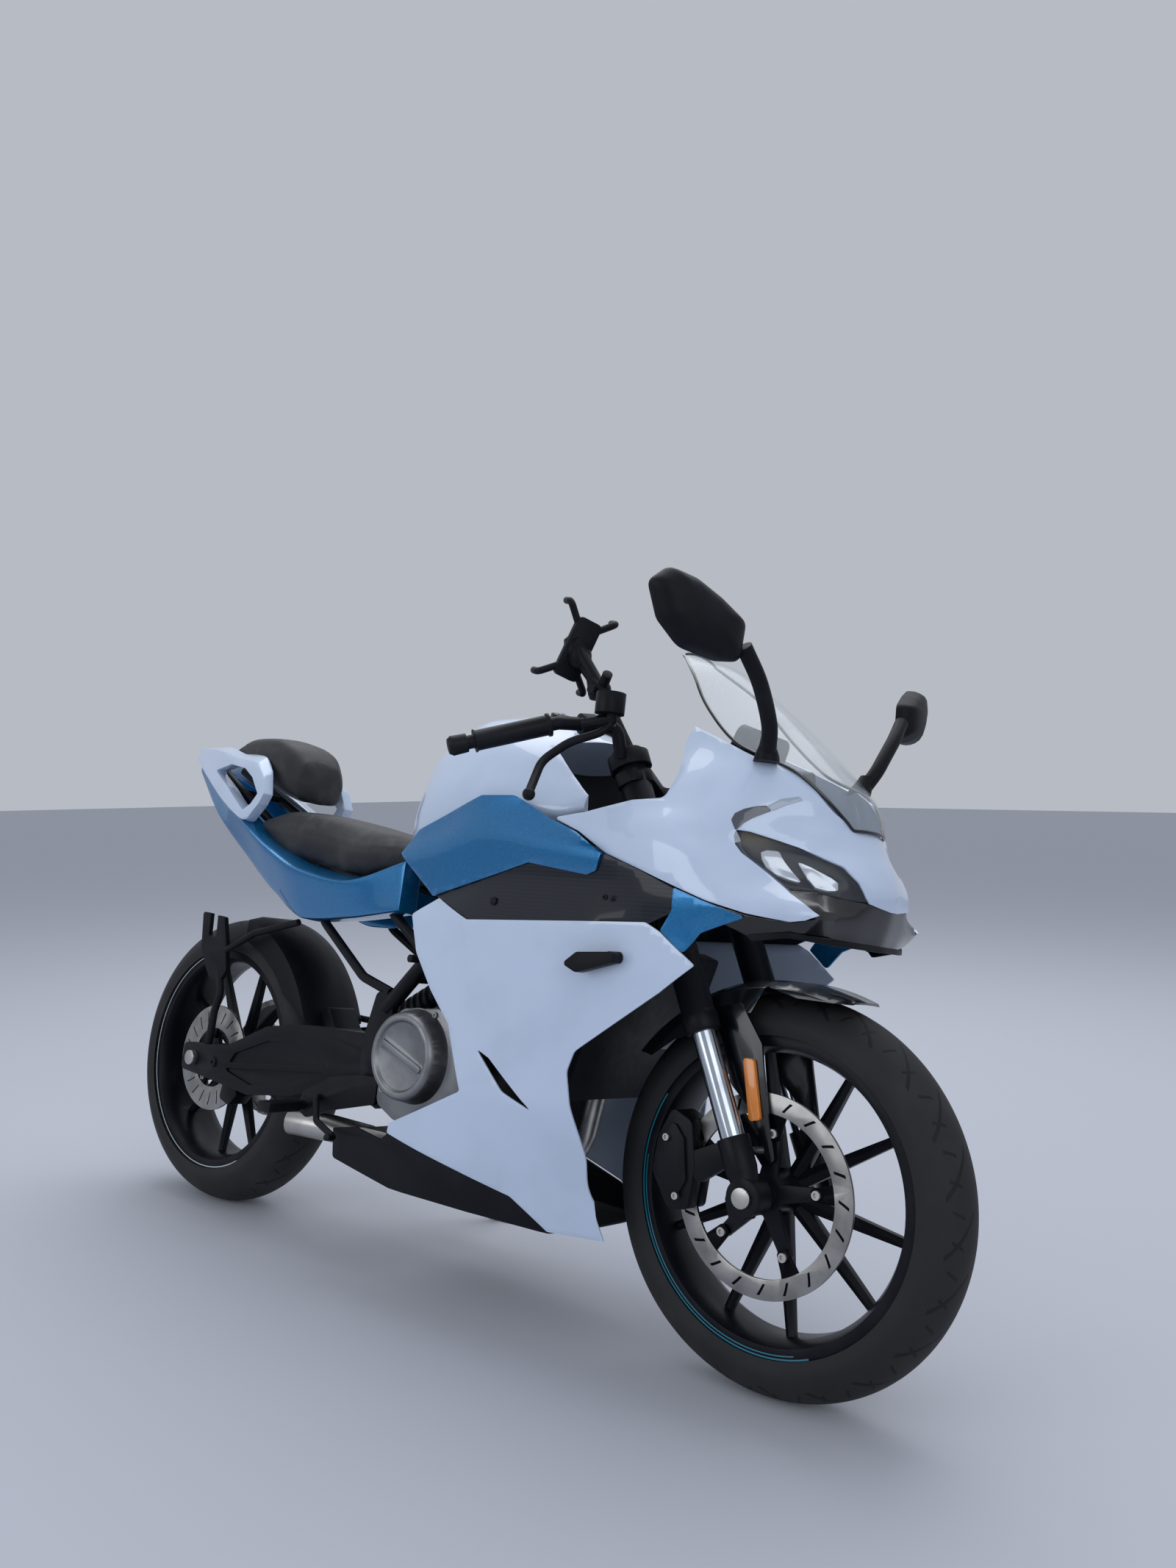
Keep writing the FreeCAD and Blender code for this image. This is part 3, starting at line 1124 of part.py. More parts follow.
def stand_bracket():
    """The pin that the stand turns on, with the lug that holds it to the frame."""
    pivot = world(stand_pivot)
    axis = stand_axis()
    inward = axis if axis.y < 0 else axis * -1
    pin = turned([(0, -13), (12, -13), (12, -9.3), (stand_pin, -9.3), (stand_pin, 9.3), (16, 9.3), (16, 30), (0, 30)],
                 pivot, inward)
    return pin


upper_cowl_solid = upper_cowl()
tank_solid = fuel_tank()
lower_right = lower_fairing()
blue_right = side_skin(blue_panel_outline).cut(tank_solid)
insert_right = side_skin(insert_outline, 1)
chin_solid = chin()
duct_right = side_skin(duct_outline).cut(upper_cowl_solid).cut(chin_solid)
pan_right, pan_left = belly_pan()
hugger_shell, hugger_uprights = rear_hugger()
frame_solid = main_frame()
subframe_solid = subframe().cut(frame_solid)
engine_solid = engine_block()
clamps_solid = triple_clamps()
screen_solid = windscreen().cut(upper_cowl_solid)
rider_solid = cushion(rider_stations)
pillion_solid = cushion(pillion_stations)
cover_right = tail_strip(cover_stations)
cover_left = mirrored(cover_right)
cover_pair = [half.cut(rider_solid).cut(pillion_solid).cut(subframe_solid) for half in (cover_right, cover_left)]
wing_right = tail_strip(wing_stations).common(slab(wing_outline, -300, 0)).cut(
    slab(wing_window, -300, 0)).cut(pillion_solid).cut(cover_right).cut(subframe_solid)
bar_solids = handlebars()

nodes = {
    "main_frame": [frame_solid],
    "subframe": [subframe_solid],
    "engine_block": [engine_solid],
    "clutch_cover": [clutch_cover()],
    "left_covers": list(left_covers()),
    "radiator": [radiator().cut(engine_solid).cut(frame_solid)],
    "exhaust": [exhaust().cut(engine_solid)],
    "swingarm": [swingarm()],
    "rear_axle": [axle(rear_axle_place, 136, [(-122, 0), (-97, -72), (90, 97), (122, 0)])],
    "rear_shock": [rear_shock()],
    "chain": [chain()],
    "front_sprocket": [sprocket(front_teeth, front_pitch_radius, point(drive_place[0], 0, drive_place[1]),
                                output_radius + axle_clearance, 0,
                                chain_width - 2 * chain_plate - 2 * seat_gap)],
    "fuel_tank": [tank_solid],
    "side_panel_right": [blue_right, duct_right],
    "side_panel_left": [mirrored(blue_right), mirrored(duct_right)],
    "side_insert_right": [insert_right],
    "side_insert_left": [mirrored(insert_right)],
    "lower_fairing_right": [lower_right],
    "lower_fairing_left": [mirrored(lower_right)],
    "belly_pan": [pan_right.fuse(pan_left).removeSplitter()],
    "upper_cowl": [upper_cowl_solid],
    "headlamps": both(headlamp()),
    "chin_intake": [chin_solid],
    "windscreen": [screen_solid],
    "cockpit_panel": [cockpit()],
    "mirror_right": [mirror(-1, screen_solid)],
    "mirror_left": [mirror(1, screen_solid)],
    "indicators": [pod.cut(panel) for pod, panel in zip(indicators(), (lower_right, mirrored(lower_right)))],
    "tail_wings": both(wing_right),
    "tail_cover": cover_pair,
    "rider_seat": [rider_solid.cut(subframe_solid)],
    "pillion_seat": [pillion_solid.cut(subframe_solid)],
    "tail_lamp": [tail_lamp()],
    "rear_hugger": [hugger_shell, hugger_uprights.cut(subframe_solid)],
    "footpegs": [footpegs(-1), footpegs(1)],
    "rear_caliper": [rear_caliper()],
    "triple_clamps": [clamps_solid],
    "fork_outer_tubes": fork_outer_tubes(),
    "fork_stanchions": fork_stanchions(),
    "fork_feet": fork_feet(),
    "front_axle": [axle(front_axle_place, 134, [(-128, 0), (-88, -68), (46, 88), (128, 0)])],
    "handlebars": bar_solids,
    "levers": [lever.cut(bar) for lever, bar in zip(levers(), bar_solids)],
    "front_mudguard": [front_mudguard()],
    "reflectors": reflectors(),
    "front_caliper": [front_caliper()],
    "phone_holder": [phone_holder().cut(clamps_solid)],
    "front_tyre": [tyre(front_radius, front_half_width, front_crown_height, front_axle_place)],
    "front_rim": [rim(front_half_width, front_axle_place, front_spoke_phase, 45, front_disc_side, front_bolt_circle)],
    "front_disc": [brake_disc(front_disc_radius, front_disc_inner, front_bolt_circle, front_axle_place,
                              front_disc_side, front_spoke_phase)],
    "rear_tyre": [tyre(rear_radius, rear_half_width, rear_crown_height, rear_axle_place)],
    "rear_rim": [rim(rear_half_width, rear_axle_place, rear_spoke_phase, 52, rear_disc_side, rear_bolt_circle,
                     chain_line - sprocket_thick / 2)],
    "rear_disc": [brake_disc(rear_disc_radius, rear_disc_inner, rear_bolt_circle, rear_axle_place,
                             rear_disc_side, rear_spoke_phase)],
    "rear_sprocket": [sprocket(rear_teeth, rear_pitch_radius, rear_axle_place,
                               spigot_radius + axle_clearance, 6)],
}

os.makedirs("parts", exist_ok=True)
for name, solids in nodes.items():
    placed = [leaned(solid) for solid in solids]
    whole = placed[0] if len(placed) == 1 else Part.makeCompound(placed)
    whole.exportStep("parts/" + name + ".step")
side_stand().exportStep("parts/side_stand.step")
stand_bracket().cut(leaned(frame_solid)).exportStep("parts/stand_pin.step")
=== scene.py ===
import bpy
import bmesh
import json
import math
from mathutils import Matrix, Vector
from mathutils.bvhtree import BVHTree


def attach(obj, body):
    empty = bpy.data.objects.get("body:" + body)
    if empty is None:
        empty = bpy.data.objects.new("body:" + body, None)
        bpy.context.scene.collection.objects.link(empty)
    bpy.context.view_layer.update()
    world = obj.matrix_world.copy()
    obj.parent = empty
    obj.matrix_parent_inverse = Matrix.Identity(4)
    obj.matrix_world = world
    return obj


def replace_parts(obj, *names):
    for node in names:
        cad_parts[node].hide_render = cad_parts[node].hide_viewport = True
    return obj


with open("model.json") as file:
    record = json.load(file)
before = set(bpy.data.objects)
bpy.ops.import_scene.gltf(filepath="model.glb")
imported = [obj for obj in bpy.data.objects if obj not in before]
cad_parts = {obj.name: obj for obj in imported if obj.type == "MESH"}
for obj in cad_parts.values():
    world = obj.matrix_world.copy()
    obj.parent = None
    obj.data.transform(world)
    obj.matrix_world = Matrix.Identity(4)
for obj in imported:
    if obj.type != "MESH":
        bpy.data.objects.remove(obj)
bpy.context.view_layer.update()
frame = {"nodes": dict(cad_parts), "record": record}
nodes = frame["nodes"]
bodies = frame["record"]["behaviour"]["bodies"]
body_of_node = {node: body for body, listed in bodies.items() for node in listed}

# The bike's own frame, in millimetres: x forward from the rear axle, y left, z up, before it leans
# a slight pitch and a shift in metres set it on the floor of the shared frame
LEAN = math.radians(10)
FLOOR_PITCH = 0.000208
SHIFT = Vector((-0.677, -0.19, 0.00113))
LEANED = Matrix.Rotation(FLOOR_PITCH, 3, "Y") @ Matrix.Rotation(-LEAN, 3, "X")
WHEELBASE = 1360
FRONT_RADIUS = 293
REAR_RADIUS = 300
FRONT_AXLE = (WHEELBASE, FRONT_RADIUS)
REAR_AXLE = (0, REAR_RADIUS)
FRONT_HALF = 55
REAR_HALF = 71
BEAD_RADIUS = 222
RAKE = math.radians(25)
TRAIL = 95
SIDES = ((-1, "right"), (1, "left"))


def place(x, y, z):
    """A point of the upright bike in millimetres, as metres in the shared frame."""
    return LEANED @ Vector((x / 1000, y / 1000, z / 1000)) + SHIFT


# Materials
class Sock:
    """A shader socket with arithmetic; below, above and between are 1 where they hold and 0 elsewhere."""

    def __init__(self, tree, socket):
        self.tree = tree
        self.socket = socket

    def maths(self, operation, *others):
        node = self.tree.nodes.new("ShaderNodeMath")
        node.operation = operation
        for index, value in enumerate((self,) + others):
            if isinstance(value, Sock):
                self.tree.links.new(value.socket, node.inputs[index])
            else:
                node.inputs[index].default_value = value
        return Sock(self.tree, node.outputs[0])

    def __add__(self, other):
        return self.maths("ADD", other)

    def __sub__(self, other):
        return self.maths("SUBTRACT", other)

    def __rsub__(self, other):
        return self * -1.0 + other

    def __mul__(self, other):
        return self.maths("MULTIPLY", other)

    def __truediv__(self, other):
        return self.maths("DIVIDE", other)

    def below(self, other):
        return self.maths("LESS_THAN", other)

    def above(self, other):
        return self.maths("GREATER_THAN", other)

    def higher_of(self, other):
        return self.maths("MAXIMUM", other)

    def size(self):
        return self.maths("ABSOLUTE")

    def wave(self):
        return self.maths("SINE")

    def part(self):
        return self.maths("FRACT")

    def whole(self):
        return self.maths("FLOOR")

    def between(self, low, high):
        return self.above(low) * self.below(high)

    def ramp(self, low, high):
        node = self.tree.nodes.new("ShaderNodeMapRange")
        node.interpolation_type = "SMOOTHSTEP"
        self.tree.links.new(self.socket, node.inputs["Value"])
        node.inputs["From Min"].default_value = low
        node.inputs["From Max"].default_value = high
        return Sock(self.tree, node.outputs["Result"])


class Finish:
    """A Principled material; constants go on its sockets, and links go to the few that may vary."""

    def __init__(self, name, **constants):
        self.material = bpy.data.materials.new(name)
        self.material.use_nodes = True
        self.tree = self.material.node_tree
        self.shader = self.tree.nodes["Principled BSDF"]
        for key, value in constants.items():
            socket = self.shader.inputs[key.replace("_", " ")]
            is_colour = isinstance(value, tuple) and len(value) == 3
            socket.default_value = value + (1,) if is_colour else value

    def node(self, kind, output=0, settings=None, **inputs):
        """One method for every other node: its inputs by name, from numbers or sockets."""
        made = self.tree.nodes.new("ShaderNode" + kind)
        for key, value in (settings or {}).items():
            setattr(made, key, value)
        for key, value in inputs.items():
            socket = made.inputs[key.replace("_", " ")]
            if isinstance(value, Sock):
                self.tree.links.new(value.socket, socket)
            else:
                socket.default_value = value
        return Sock(self.tree, made.outputs[output])

    def spot(self):
        return self.node("TexCoord", output="Object")

    def split(self, vector):
        made = self.tree.nodes.new("ShaderNodeSeparateXYZ")
        self.tree.links.new(vector.socket, made.inputs[0])
        return [Sock(self.tree, made.outputs[index]) for index in range(3)]

    def bike(self):
        """Object coordinates turned back to the upright bike's own frame, in metres."""
        origin = LEANED.inverted() @ SHIFT
        return self.split(self.node("Mapping", Vector=self.spot(), Location=tuple(-origin),
                                    Rotation=(LEAN, 0, 0)))

    def noise(self, scale, detail=2, roughness=0.5):
        return self.node("TexNoise", output="Fac", Vector=self.spot(), Scale=scale, Detail=detail,
                         Roughness=roughness)

    def blend(self, factor, first, second):
        made = self.tree.nodes.new("ShaderNodeMix")
        made.data_type = "RGBA"
        self.tree.links.new(factor.socket, made.inputs[0])
        for index, value in ((6, first), (7, second)):
            if isinstance(value, Sock):
                self.tree.links.new(value.socket, made.inputs[index])
            else:
                made.inputs[index].default_value = tuple(value) + (1,)
        return Sock(self.tree, made.outputs[2])

    def link(self, name, sock):
        self.tree.links.new(sock.socket, self.shader.inputs[name])

    def bump(self, height, strength=0.3, distance=0.001):
        self.link("Normal", self.node("Bump", Height=height, Strength=strength, Distance=distance))


def painted(name, colour, metallic=0.0, roughness=0.32, fleck=None, coat=1.0):
    """Lacquered paint: a slight orange peel, and dust that dulls it in patches."""
    made = Finish(name, Base_Color=colour, Metallic=metallic, Coat_Weight=coat, Coat_Roughness=0.04)
    dust = made.noise(9, 4)
    made.link("Roughness", dust * 0.12 + roughness - 0.06)
    if fleck:
        flakes = made.node("TexVoronoi", output="Color", Vector=made.spot(), Scale=900)
        bright = made.split(flakes)[0]
        made.link("Base Color", made.blend(bright * 0.5, colour, fleck))
    else:
        shade = tuple(0.93 * c for c in colour)
        made.link("Base Color", made.blend(dust.ramp(0.42, 0.75), colour, shade))
    made.bump(made.noise(260, 1), 0.03, 0.0004)
    return made.material


def moulded(name, colour, roughness=0.5, grain=900, depth=0.12):
    """Black plastic or powder coat: fine grain, dust and patches rubbed paler."""
    made = Finish(name, Specular_IOR_Level=0.16)
    dust = made.noise(7, 5, roughness=0.6)
    made.link("Roughness", dust * 0.25 + (roughness - 0.12))
    made.link("Base Color", made.blend(dust.ramp(0.45, 0.8), colour, (0.012, 0.0135, 0.018)))
    made.bump(made.noise(grain, 2), depth, 0.0005)
    return made.material


def bare_metal(name, colour, roughness, grain=60, cast=0.0, metallic=1.0):
    """Bare metal: finely marked, or with a cast skin."""
    made = Finish(name, Metallic=metallic)
    lines = made.noise(grain, 4)
    made.link("Roughness", lines * 0.25 + (roughness - 0.12))
    dull = tuple(c * 0.7 for c in colour)
    made.link("Base Color", made.blend(made.noise(14, 4).ramp(0.4, 0.7), colour, dull))
    if cast:
        made.bump(made.noise(420, 3), cast, 0.0008)
    else:
        made.bump(lines, 0.05, 0.0003)
    return made.material


def carbon(name):
    """Carbon look film: a two by two twill under lacquer."""
    made = Finish(name, Coat_Weight=0.35, Coat_Roughness=0.06, Specular_IOR_Level=0.2)
    turned = made.node("Mapping", Vector=made.spot(), Rotation=(math.radians(10), math.radians(45), 0))
    x, _, z = made.split(turned)
    tow = 0.0022
    row = (z / tow).whole()
    warp = ((x / tow + row).whole() / 4).part().below(0.49)
    thread = ((x / tow).part() - 0.5).size() * warp + ((z / tow).part() - 0.5).size() * (1 - warp)
    made.link("Base Color", made.blend(warp, (0.006, 0.008, 0.013), (0.010, 0.013, 0.021)))
    made.link("Roughness", warp * 0.2 + 0.32)
    made.bump(thread, 0.08, 0.0004)
    return made.material


def leather(name, colour):
    """Seat vinyl: grained, with a dusty bloom on the top."""
    made = Finish(name, Specular_IOR_Level=0.4)
    cells = made.node("TexVoronoi", output="Distance", settings={"feature": "DISTANCE_TO_EDGE"},
                      Vector=made.spot(), Scale=420)
    bloom = made.noise(12, 5)
    made.link("Base Color", made.blend(bloom.ramp(0.4, 0.8), colour, (0.06, 0.058, 0.056)))
    made.link("Roughness", bloom * 0.25 + 0.36)
    made.bump(cells.ramp(0.0, 0.25), 0.35, 0.0006)
    return made.material


def lamp_bowl(name):
    """Dark reflector housing that turns golden brown toward its upper rear corner."""
    made = Finish(name, Specular_IOR_Level=0.2, Roughness=0.3)
    x, _, z = made.bike()
    rear_x, low_z = 1.375, 0.786
    gold = (z - low_z) * 22 + (rear_x - x) * 6
    made.link("Base Color", made.blend(gold.ramp(-0.1, 1.0), (0.006, 0.0065, 0.01), (0.16, 0.125, 0.05)))
    return made.material


def clear(name, colour, alpha):
    """Clear plastic, mostly seen through."""
    made = Finish(name, Base_Color=colour, Alpha=alpha, Roughness=0.03, Coat_Weight=1.0, Coat_Roughness=0.02)
    return made.material


def disc_steel(name, axle, inner, outer):
    """A brake disc between two radii in millimetres: slanted slots painted near black as their shade, a
    polished track and a black carrier.
    """
    made = Finish(name, Metallic=1.0)
    x, _, z = made.bike()
    x = x - axle[0] / 1000
    z = z - axle[1] / 1000
    radius = (x * x + z * z).maths("SQRT")
    angle = z.maths("ARCTAN2", x) / (2 * math.pi)
    share = (radius - inner / 1000) / ((outer - inner) / 1000)
    slot_and_shade = ((angle * 20 + share * 0.42).part() - 0.5).size().below(0.055) * share.between(0.22, 0.78)
    carrier = share.below(0.0)
    tracks = (radius * 2600).wave() * 0.5 + 0.5
    steel_tone = made.blend(made.noise(30, 4).ramp(0.3, 0.75), (0.36, 0.35, 0.34), (0.24, 0.235, 0.23))
    # the slots get painted shade, near black, together with the real black carrier
    made.link("Base Color", made.blend(slot_and_shade.higher_of(carrier), steel_tone, (0.006, 0.006, 0.008)))
    made.link("Roughness", tracks * 0.1 + 0.3)
    made.bump(slot_and_shade * -1.0 + tracks * 0.02, 0.6, 0.002)
    return made.material


def tread_rubber(name):
    """Tyre rubber with its grooves painted darker than the rubber as shade, laid out on (share of a turn,
    side) as lathe_mesh maps them.
    """
    rubber = (0.014, 0.014, 0.016)
    made = Finish(name, Base_Color=rubber, Specular_IOR_Level=0.35)
    turn_at, side, _ = made.split(made.node("UVMap"))
    reach = side.size() / FRONT_HALF
    swept = (turn_at * 22 + reach * 1.1 + side.above(0) * 0.5).part()
    groove = (swept - 0.5).size().below(0.055) * reach.between(0.1, 0.82)
    short = ((turn_at * 44 - reach * 0.8 + 0.3).part() - 0.5).size().below(0.06) * reach.between(0.45, 0.72)
    cut = groove.higher_of(short)
    dust = made.noise(9, 5)
    dusty = made.blend(dust.ramp(0.4, 0.8), rubber, (0.032, 0.03, 0.029))
    # painted shade: the grooves are coloured darker than the rubber itself
    made.link("Base Color", made.blend(cut, dusty, (0.004, 0.004, 0.005)))
    made.link("Roughness", dust * 0.2 + 0.58)
    made.bump(cut * -1.0 + made.noise(500, 2) * 0.05, 0.9, 0.003)
    return made.material


# painted shade tint: the white paint's colour carries the blue cast that white has in shade
WHITE = painted("white_paint", (0.55, 0.65, 0.83))
BLUE = painted("blue_paint", (0.001, 0.125, 0.33), metallic=0.55, roughness=0.27, fleck=(0.01, 0.29, 0.62),
               coat=0.7)
CARBON = carbon("carbon_trim")
PLASTIC = moulded("black_plastic", (0.004, 0.0048, 0.0075))
GLOSS = painted("gloss_black", (0.002, 0.0025, 0.004), roughness=0.22, coat=0.35)
METAL = moulded("black_metal", (0.0045, 0.0052, 0.008), roughness=0.42, grain=1400, depth=0.08)
WHEEL = moulded("black_wheel", (0.004, 0.0048, 0.008), roughness=0.36, grain=1500, depth=0.05)
ENGINE = bare_metal("engine_metal", (0.016, 0.016, 0.019), 0.5, cast=0.3, metallic=0.5)
COVER = bare_metal("cover_metal", (0.27, 0.275, 0.285), 0.42, grain=300, cast=0.08)
STEEL = bare_metal("steel", (0.5, 0.49, 0.47), 0.34, grain=200)
CHROME = bare_metal("chrome", (0.5, 0.54, 0.6), 0.14, grain=30)
TREAD = tread_rubber("tread_rubber")
SEAT = leather("seat_cover", (0.014, 0.014, 0.017))
SCREEN = clear("clear_screen", (0.74, 0.82, 0.88), 0.15)
LENS = clear("lamp_lens", (0.2, 0.22, 0.26), 0.1)
BOWL = lamp_bowl("lamp_bowl")
# shaded copies of the white paint, for the painted shade in the nose's scoops
SHADE_DEEP = painted("painted_deep_shade", (0.05, 0.06, 0.085), roughness=0.35)
SHADE_HALF = painted("painted_half_shade", (0.34, 0.4, 0.5), roughness=0.35)
TEAL = painted("teal_line", (0.0, 0.16, 0.24), roughness=0.35)
PALE = painted("pale_line", (0.5, 0.56, 0.6), roughness=0.35)
EYE = painted("lamp_element", (0.62, 0.67, 0.74), metallic=0.5, roughness=0.16)
eye_shader = EYE.node_tree.nodes["Principled BSDF"].inputs
eye_shader["Emission Color"].default_value = (0.5, 0.56, 0.65, 1)
eye_shader["Emission Strength"].default_value = 0.12
RED = painted("red_lens", (0.35, 0.01, 0.012), roughness=0.2)
AMBER = painted("amber_lens", (0.75, 0.22, 0.01), roughness=0.25)

FINISHES = (
    (METAL, "main_frame subframe swingarm rear_shock footpegs rear_caliper triple_clamps fork_outer_tubes "
            "fork_feet handlebars levers front_caliper side_stand"),
    (PLASTIC, "belly_pan cockpit_panel mirror_right mirror_left indicators rear_hugger phone_holder"),
    (WHITE, "fuel_tank lower_fairing_right lower_fairing_left upper_cowl tail_wings"),
    (STEEL, "exhaust rear_axle chain front_sprocket stand_pin front_axle rear_sprocket"),
    (BLUE, "side_panel_right side_panel_left tail_cover"),
    (ENGINE, "engine_block radiator"),
    (COVER, "clutch_cover left_covers"),
    (CARBON, "side_insert_right side_insert_left"),
    (GLOSS, "chin_intake front_mudguard"),
    (SEAT, "rider_seat pillion_seat"),
    (WHEEL, "front_rim rear_rim"),
    (TREAD, "front_tyre rear_tyre"),
    (disc_steel("front_disc_steel", FRONT_AXLE, 117, 146), "front_disc"),
    (disc_steel("rear_disc_steel", REAR_AXLE, 62, 110), "rear_disc"),
    (LENS, "headlamps"), (SCREEN, "windscreen"), (RED, "tail_lamp"), (CHROME, "fork_stanchions"),
    (AMBER, "reflectors"))
finish_of = {node: material for material, listed in FINISHES for node in listed.split()}
for node, material in finish_of.items():
    nodes[node].data.materials.clear()
    nodes[node].data.materials.append(material)


# Making pieces
def in_scene(name, data):
    """A new object in the scene."""
    made = bpy.data.objects.new(name, data)
    bpy.context.scene.collection.objects.link(made)
    return made


def finish_mesh(mesh, name, materials, node, sharp=35):
    """Links a mesh as a piece that stands for a node and rides on its body."""
    mesh.materials.clear()
    for material in materials:
        mesh.materials.append(material)
    for face in mesh.polygons:
        face.use_smooth = True
    mesh.set_sharp_from_angle(angle=math.radians(sharp))
    piece = in_scene(name, mesh)
    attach(piece, body_of_node[node])
    return piece


def as_plain(carrier):
    """The plain mesh of an object after its modifiers; the object goes."""
    made = bpy.data.meshes.new_from_object(carrier.evaluated_get(bpy.context.evaluated_depsgraph_get()))
    bpy.data.objects.remove(carrier)
    return made


def evaluated(mesh, changes):
    """A plain mesh after modifiers, each given as (type, settings)."""
    carrier = in_scene("carrier", mesh)
    for kind, settings in changes:
        modifier = carrier.modifiers.new(kind, kind)
        for key, value in settings.items():
            setattr(modifier, key, value)
    return as_plain(carrier)


def combined(mesh, operation, other):
    """The first closed mesh cut by, or kept within, the other."""
    tool = in_scene("tool", other)
    made = evaluated(mesh, [("BOOLEAN", {"operation": operation, "object": tool, "solver": "EXACT"})])
    bpy.data.objects.remove(tool)
    return made


def edged(mesh, width, angle=35, segments=3):
    """The mesh with its edges rounded by a width in millimetres."""
    return evaluated(mesh, [("BEVEL", {"width": width / 1000, "segments": segments, "limit_method": "ANGLE",
                                       "angle_limit": math.radians(angle)})])


def written(work, name):
    """The mesh of a finished bmesh."""
    mesh = bpy.data.meshes.new(name)
    work.to_mesh(mesh)
    work.free()
    return mesh


def ring_mesh(name, rings, closed=False):
    """A form through rings of as many points each: capped at both ends, or closed from last to first."""
    work = bmesh.new()
    loops = [[work.verts.new(spot) for spot in ring] for ring in rings]
    for low, high in zip(loops, loops[1:] + loops[:1] if closed else loops[1:]):
        for k in range(len(low)):
            following = (k + 1) % len(low)
            work.faces.new((low[k], low[following], high[following], high[k]))
    if not closed:
        work.faces.new(loops[0][::-1])
        work.faces.new(loops[-1])
    bmesh.ops.recalc_face_normals(work, faces=work.faces)
    return written(work, name)


def joined_mesh(meshes):
    """Several meshes as one."""
    work = bmesh.new()
    for mesh in meshes:
        work.from_mesh(mesh)
    return written(work, "joined")


def circle(radius, sides):
    """Points round a circle about zero."""
    return [(radius * math.cos(2 * math.pi * k / sides), radius * math.sin(2 * math.pi * k / sides))
            for k in range(sides)]


def on_circle(centre, radius, angle):
    """A point of a circle about a centre, in side view."""
    return Vector(centre) + Vector((math.cos(angle), math.sin(angle))) * radius


def softened(node, width):
    """The node's own shape, doubled points merged, flat parts joined and edges rounded, as a new piece."""
    same_point = 0.00002
    almost_flat = math.radians(1)
    mesh = nodes[node].data.copy()
    mesh.transform(nodes[node].matrix_world)
    work = bmesh.new()
    work.from_mesh(mesh)
    bmesh.ops.remove_doubles(work, verts=work.verts, dist=same_point)
    bmesh.ops.dissolve_limit(work, angle_limit=almost_flat, verts=work.verts, edges=work.edges)
    rounded = edged(written(work, node), width, 32, 2)
    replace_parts(finish_mesh(rounded, node + "_dressed", [finish_of[node]], node), node)


# Shapes
class Track:
    """A smooth curve through values at rising knots that never overshoots them."""

    def __init__(self, knots, values):
        self.knots = list(knots)
        self.values = list(values)
        rises = [(self.values[i + 1] - self.values[i]) / (self.knots[i + 1] - self.knots[i])
                 for i in range(len(self.knots) - 1)]
        inner = [2 * a * b / (a + b) if a * b > 0 else 0.0 for a, b in zip(rises, rises[1:])]
        self.slopes = [rises[0]] + inner + [rises[-1]]

    def __call__(self, at):
        knots = self.knots
        at = min(max(at, knots[0]), knots[-1])
        index = 0
        while index < len(knots) - 2 and at > knots[index + 1]:
            index += 1
        gap = knots[index + 1] - knots[index]
        t = (at - knots[index]) / gap
        before = (1 + 2 * t) * (1 - t) ** 2 * self.values[index] + t * (1 - t) ** 2 * gap * self.slopes[index]
        after = t * t * (3 - 2 * t) * self.values[index + 1] + t * t * (t - 1) * gap * self.slopes[index + 1]
        return before + after


def along_line(spots, at):
    """A point along a run of points, whose place is counted in points."""
    at = min(max(at, 0), len(spots) - 1.000001)
    index = int(at)
    share = at - index
    return tuple(a + (b - a) * share for a, b in zip(spots[index], spots[index + 1]))


class Flank:
    """The side surface of the fairing as half widths over (x, z), averaged over some height."""
    soft = 9

    def __init__(self, stations, depth=0):
        places = [station[0] for station in stations]
        self.levels = [[Track(places, [station[level][axis] for station in stations]) for axis in (0, 1)]
                       for level in range(1, len(stations[0]))]
        self.depth = depth
        self.kept = {}

    def flat(self, x, z):
        return x, z

    def spot(self, x, z):
        key = round(x, 1)
        if key not in self.kept:
            self.kept[key] = [(wide(x), high(x)) for wide, high in self.levels]
        levels = self.kept[key]
        total = 0
        shares = (-1, -0.66, -0.33, 0, 0.33, 0.66, 1)
        for share in shares:
            height = z + share * self.soft
            wide = levels[0][0] if height >= levels[0][1] else levels[-1][0]
            for (upper_wide, upper), (lower_wide, lower) in zip(levels, levels[1:]):
                if lower <= height <= upper:
                    wide = lower_wide + (upper_wide - lower_wide) * (height - lower) / (upper - lower)
                    break
            total += wide
        return x, self.depth - total / len(shares), z


class Nose:
    """The nose's surface: columns from the middle line round to the rear, at levels of z.

    A flat outline counts a column as unit millimetres; soft is how far the surface is averaged, in columns.
    """
    unit = 90
    soft = 0.2

    def __init__(self, levels, depth=0):
        heights = [level[0] for level in levels]
        runs = [[(level[1], 0)] + list(level[2:]) for level in levels]
        self.columns = [[Track(heights, [run[k][axis] for run in runs]) for axis in (0, 1)]
                        for k in range(len(runs[0]))]
        self.depth = depth
        self.kept = {}

    def at(self, u, z):
        key = round(z, 1)
        if key not in self.kept:
            self.kept[key] = [(x(z), wide(z)) for x, wide in self.columns]
        run = self.kept[key]
        x_sum, wide_sum = 0, 0
        shares = (-1, -0.5, 0, 0.5, 1)
        for share in shares:
            where = u + share * self.soft
            x, wide = along_line(run, abs(where))
            x_sum += x
            wide_sum += math.copysign(wide, where)
        off_middle = u > 0.02
        wide = wide_sum / len(shares) - (self.depth if off_middle else 0)
        return x_sum / len(shares) - self.depth, max(wide, 0)

    def flat(self, x, z):
        low, high = 0.0, 4.0
        if x >= self.at(0, z)[0]:
            return 0.0, z
        for _ in range(24):
            middle = (low + high) / 2
            if self.at(middle, z)[0] > x:
                low = middle
            else:
                high = middle
        return low * self.unit, z

    def spot(self, u, z):
        x, wide = self.at(u / self.unit, z)
        return x, -wide, z


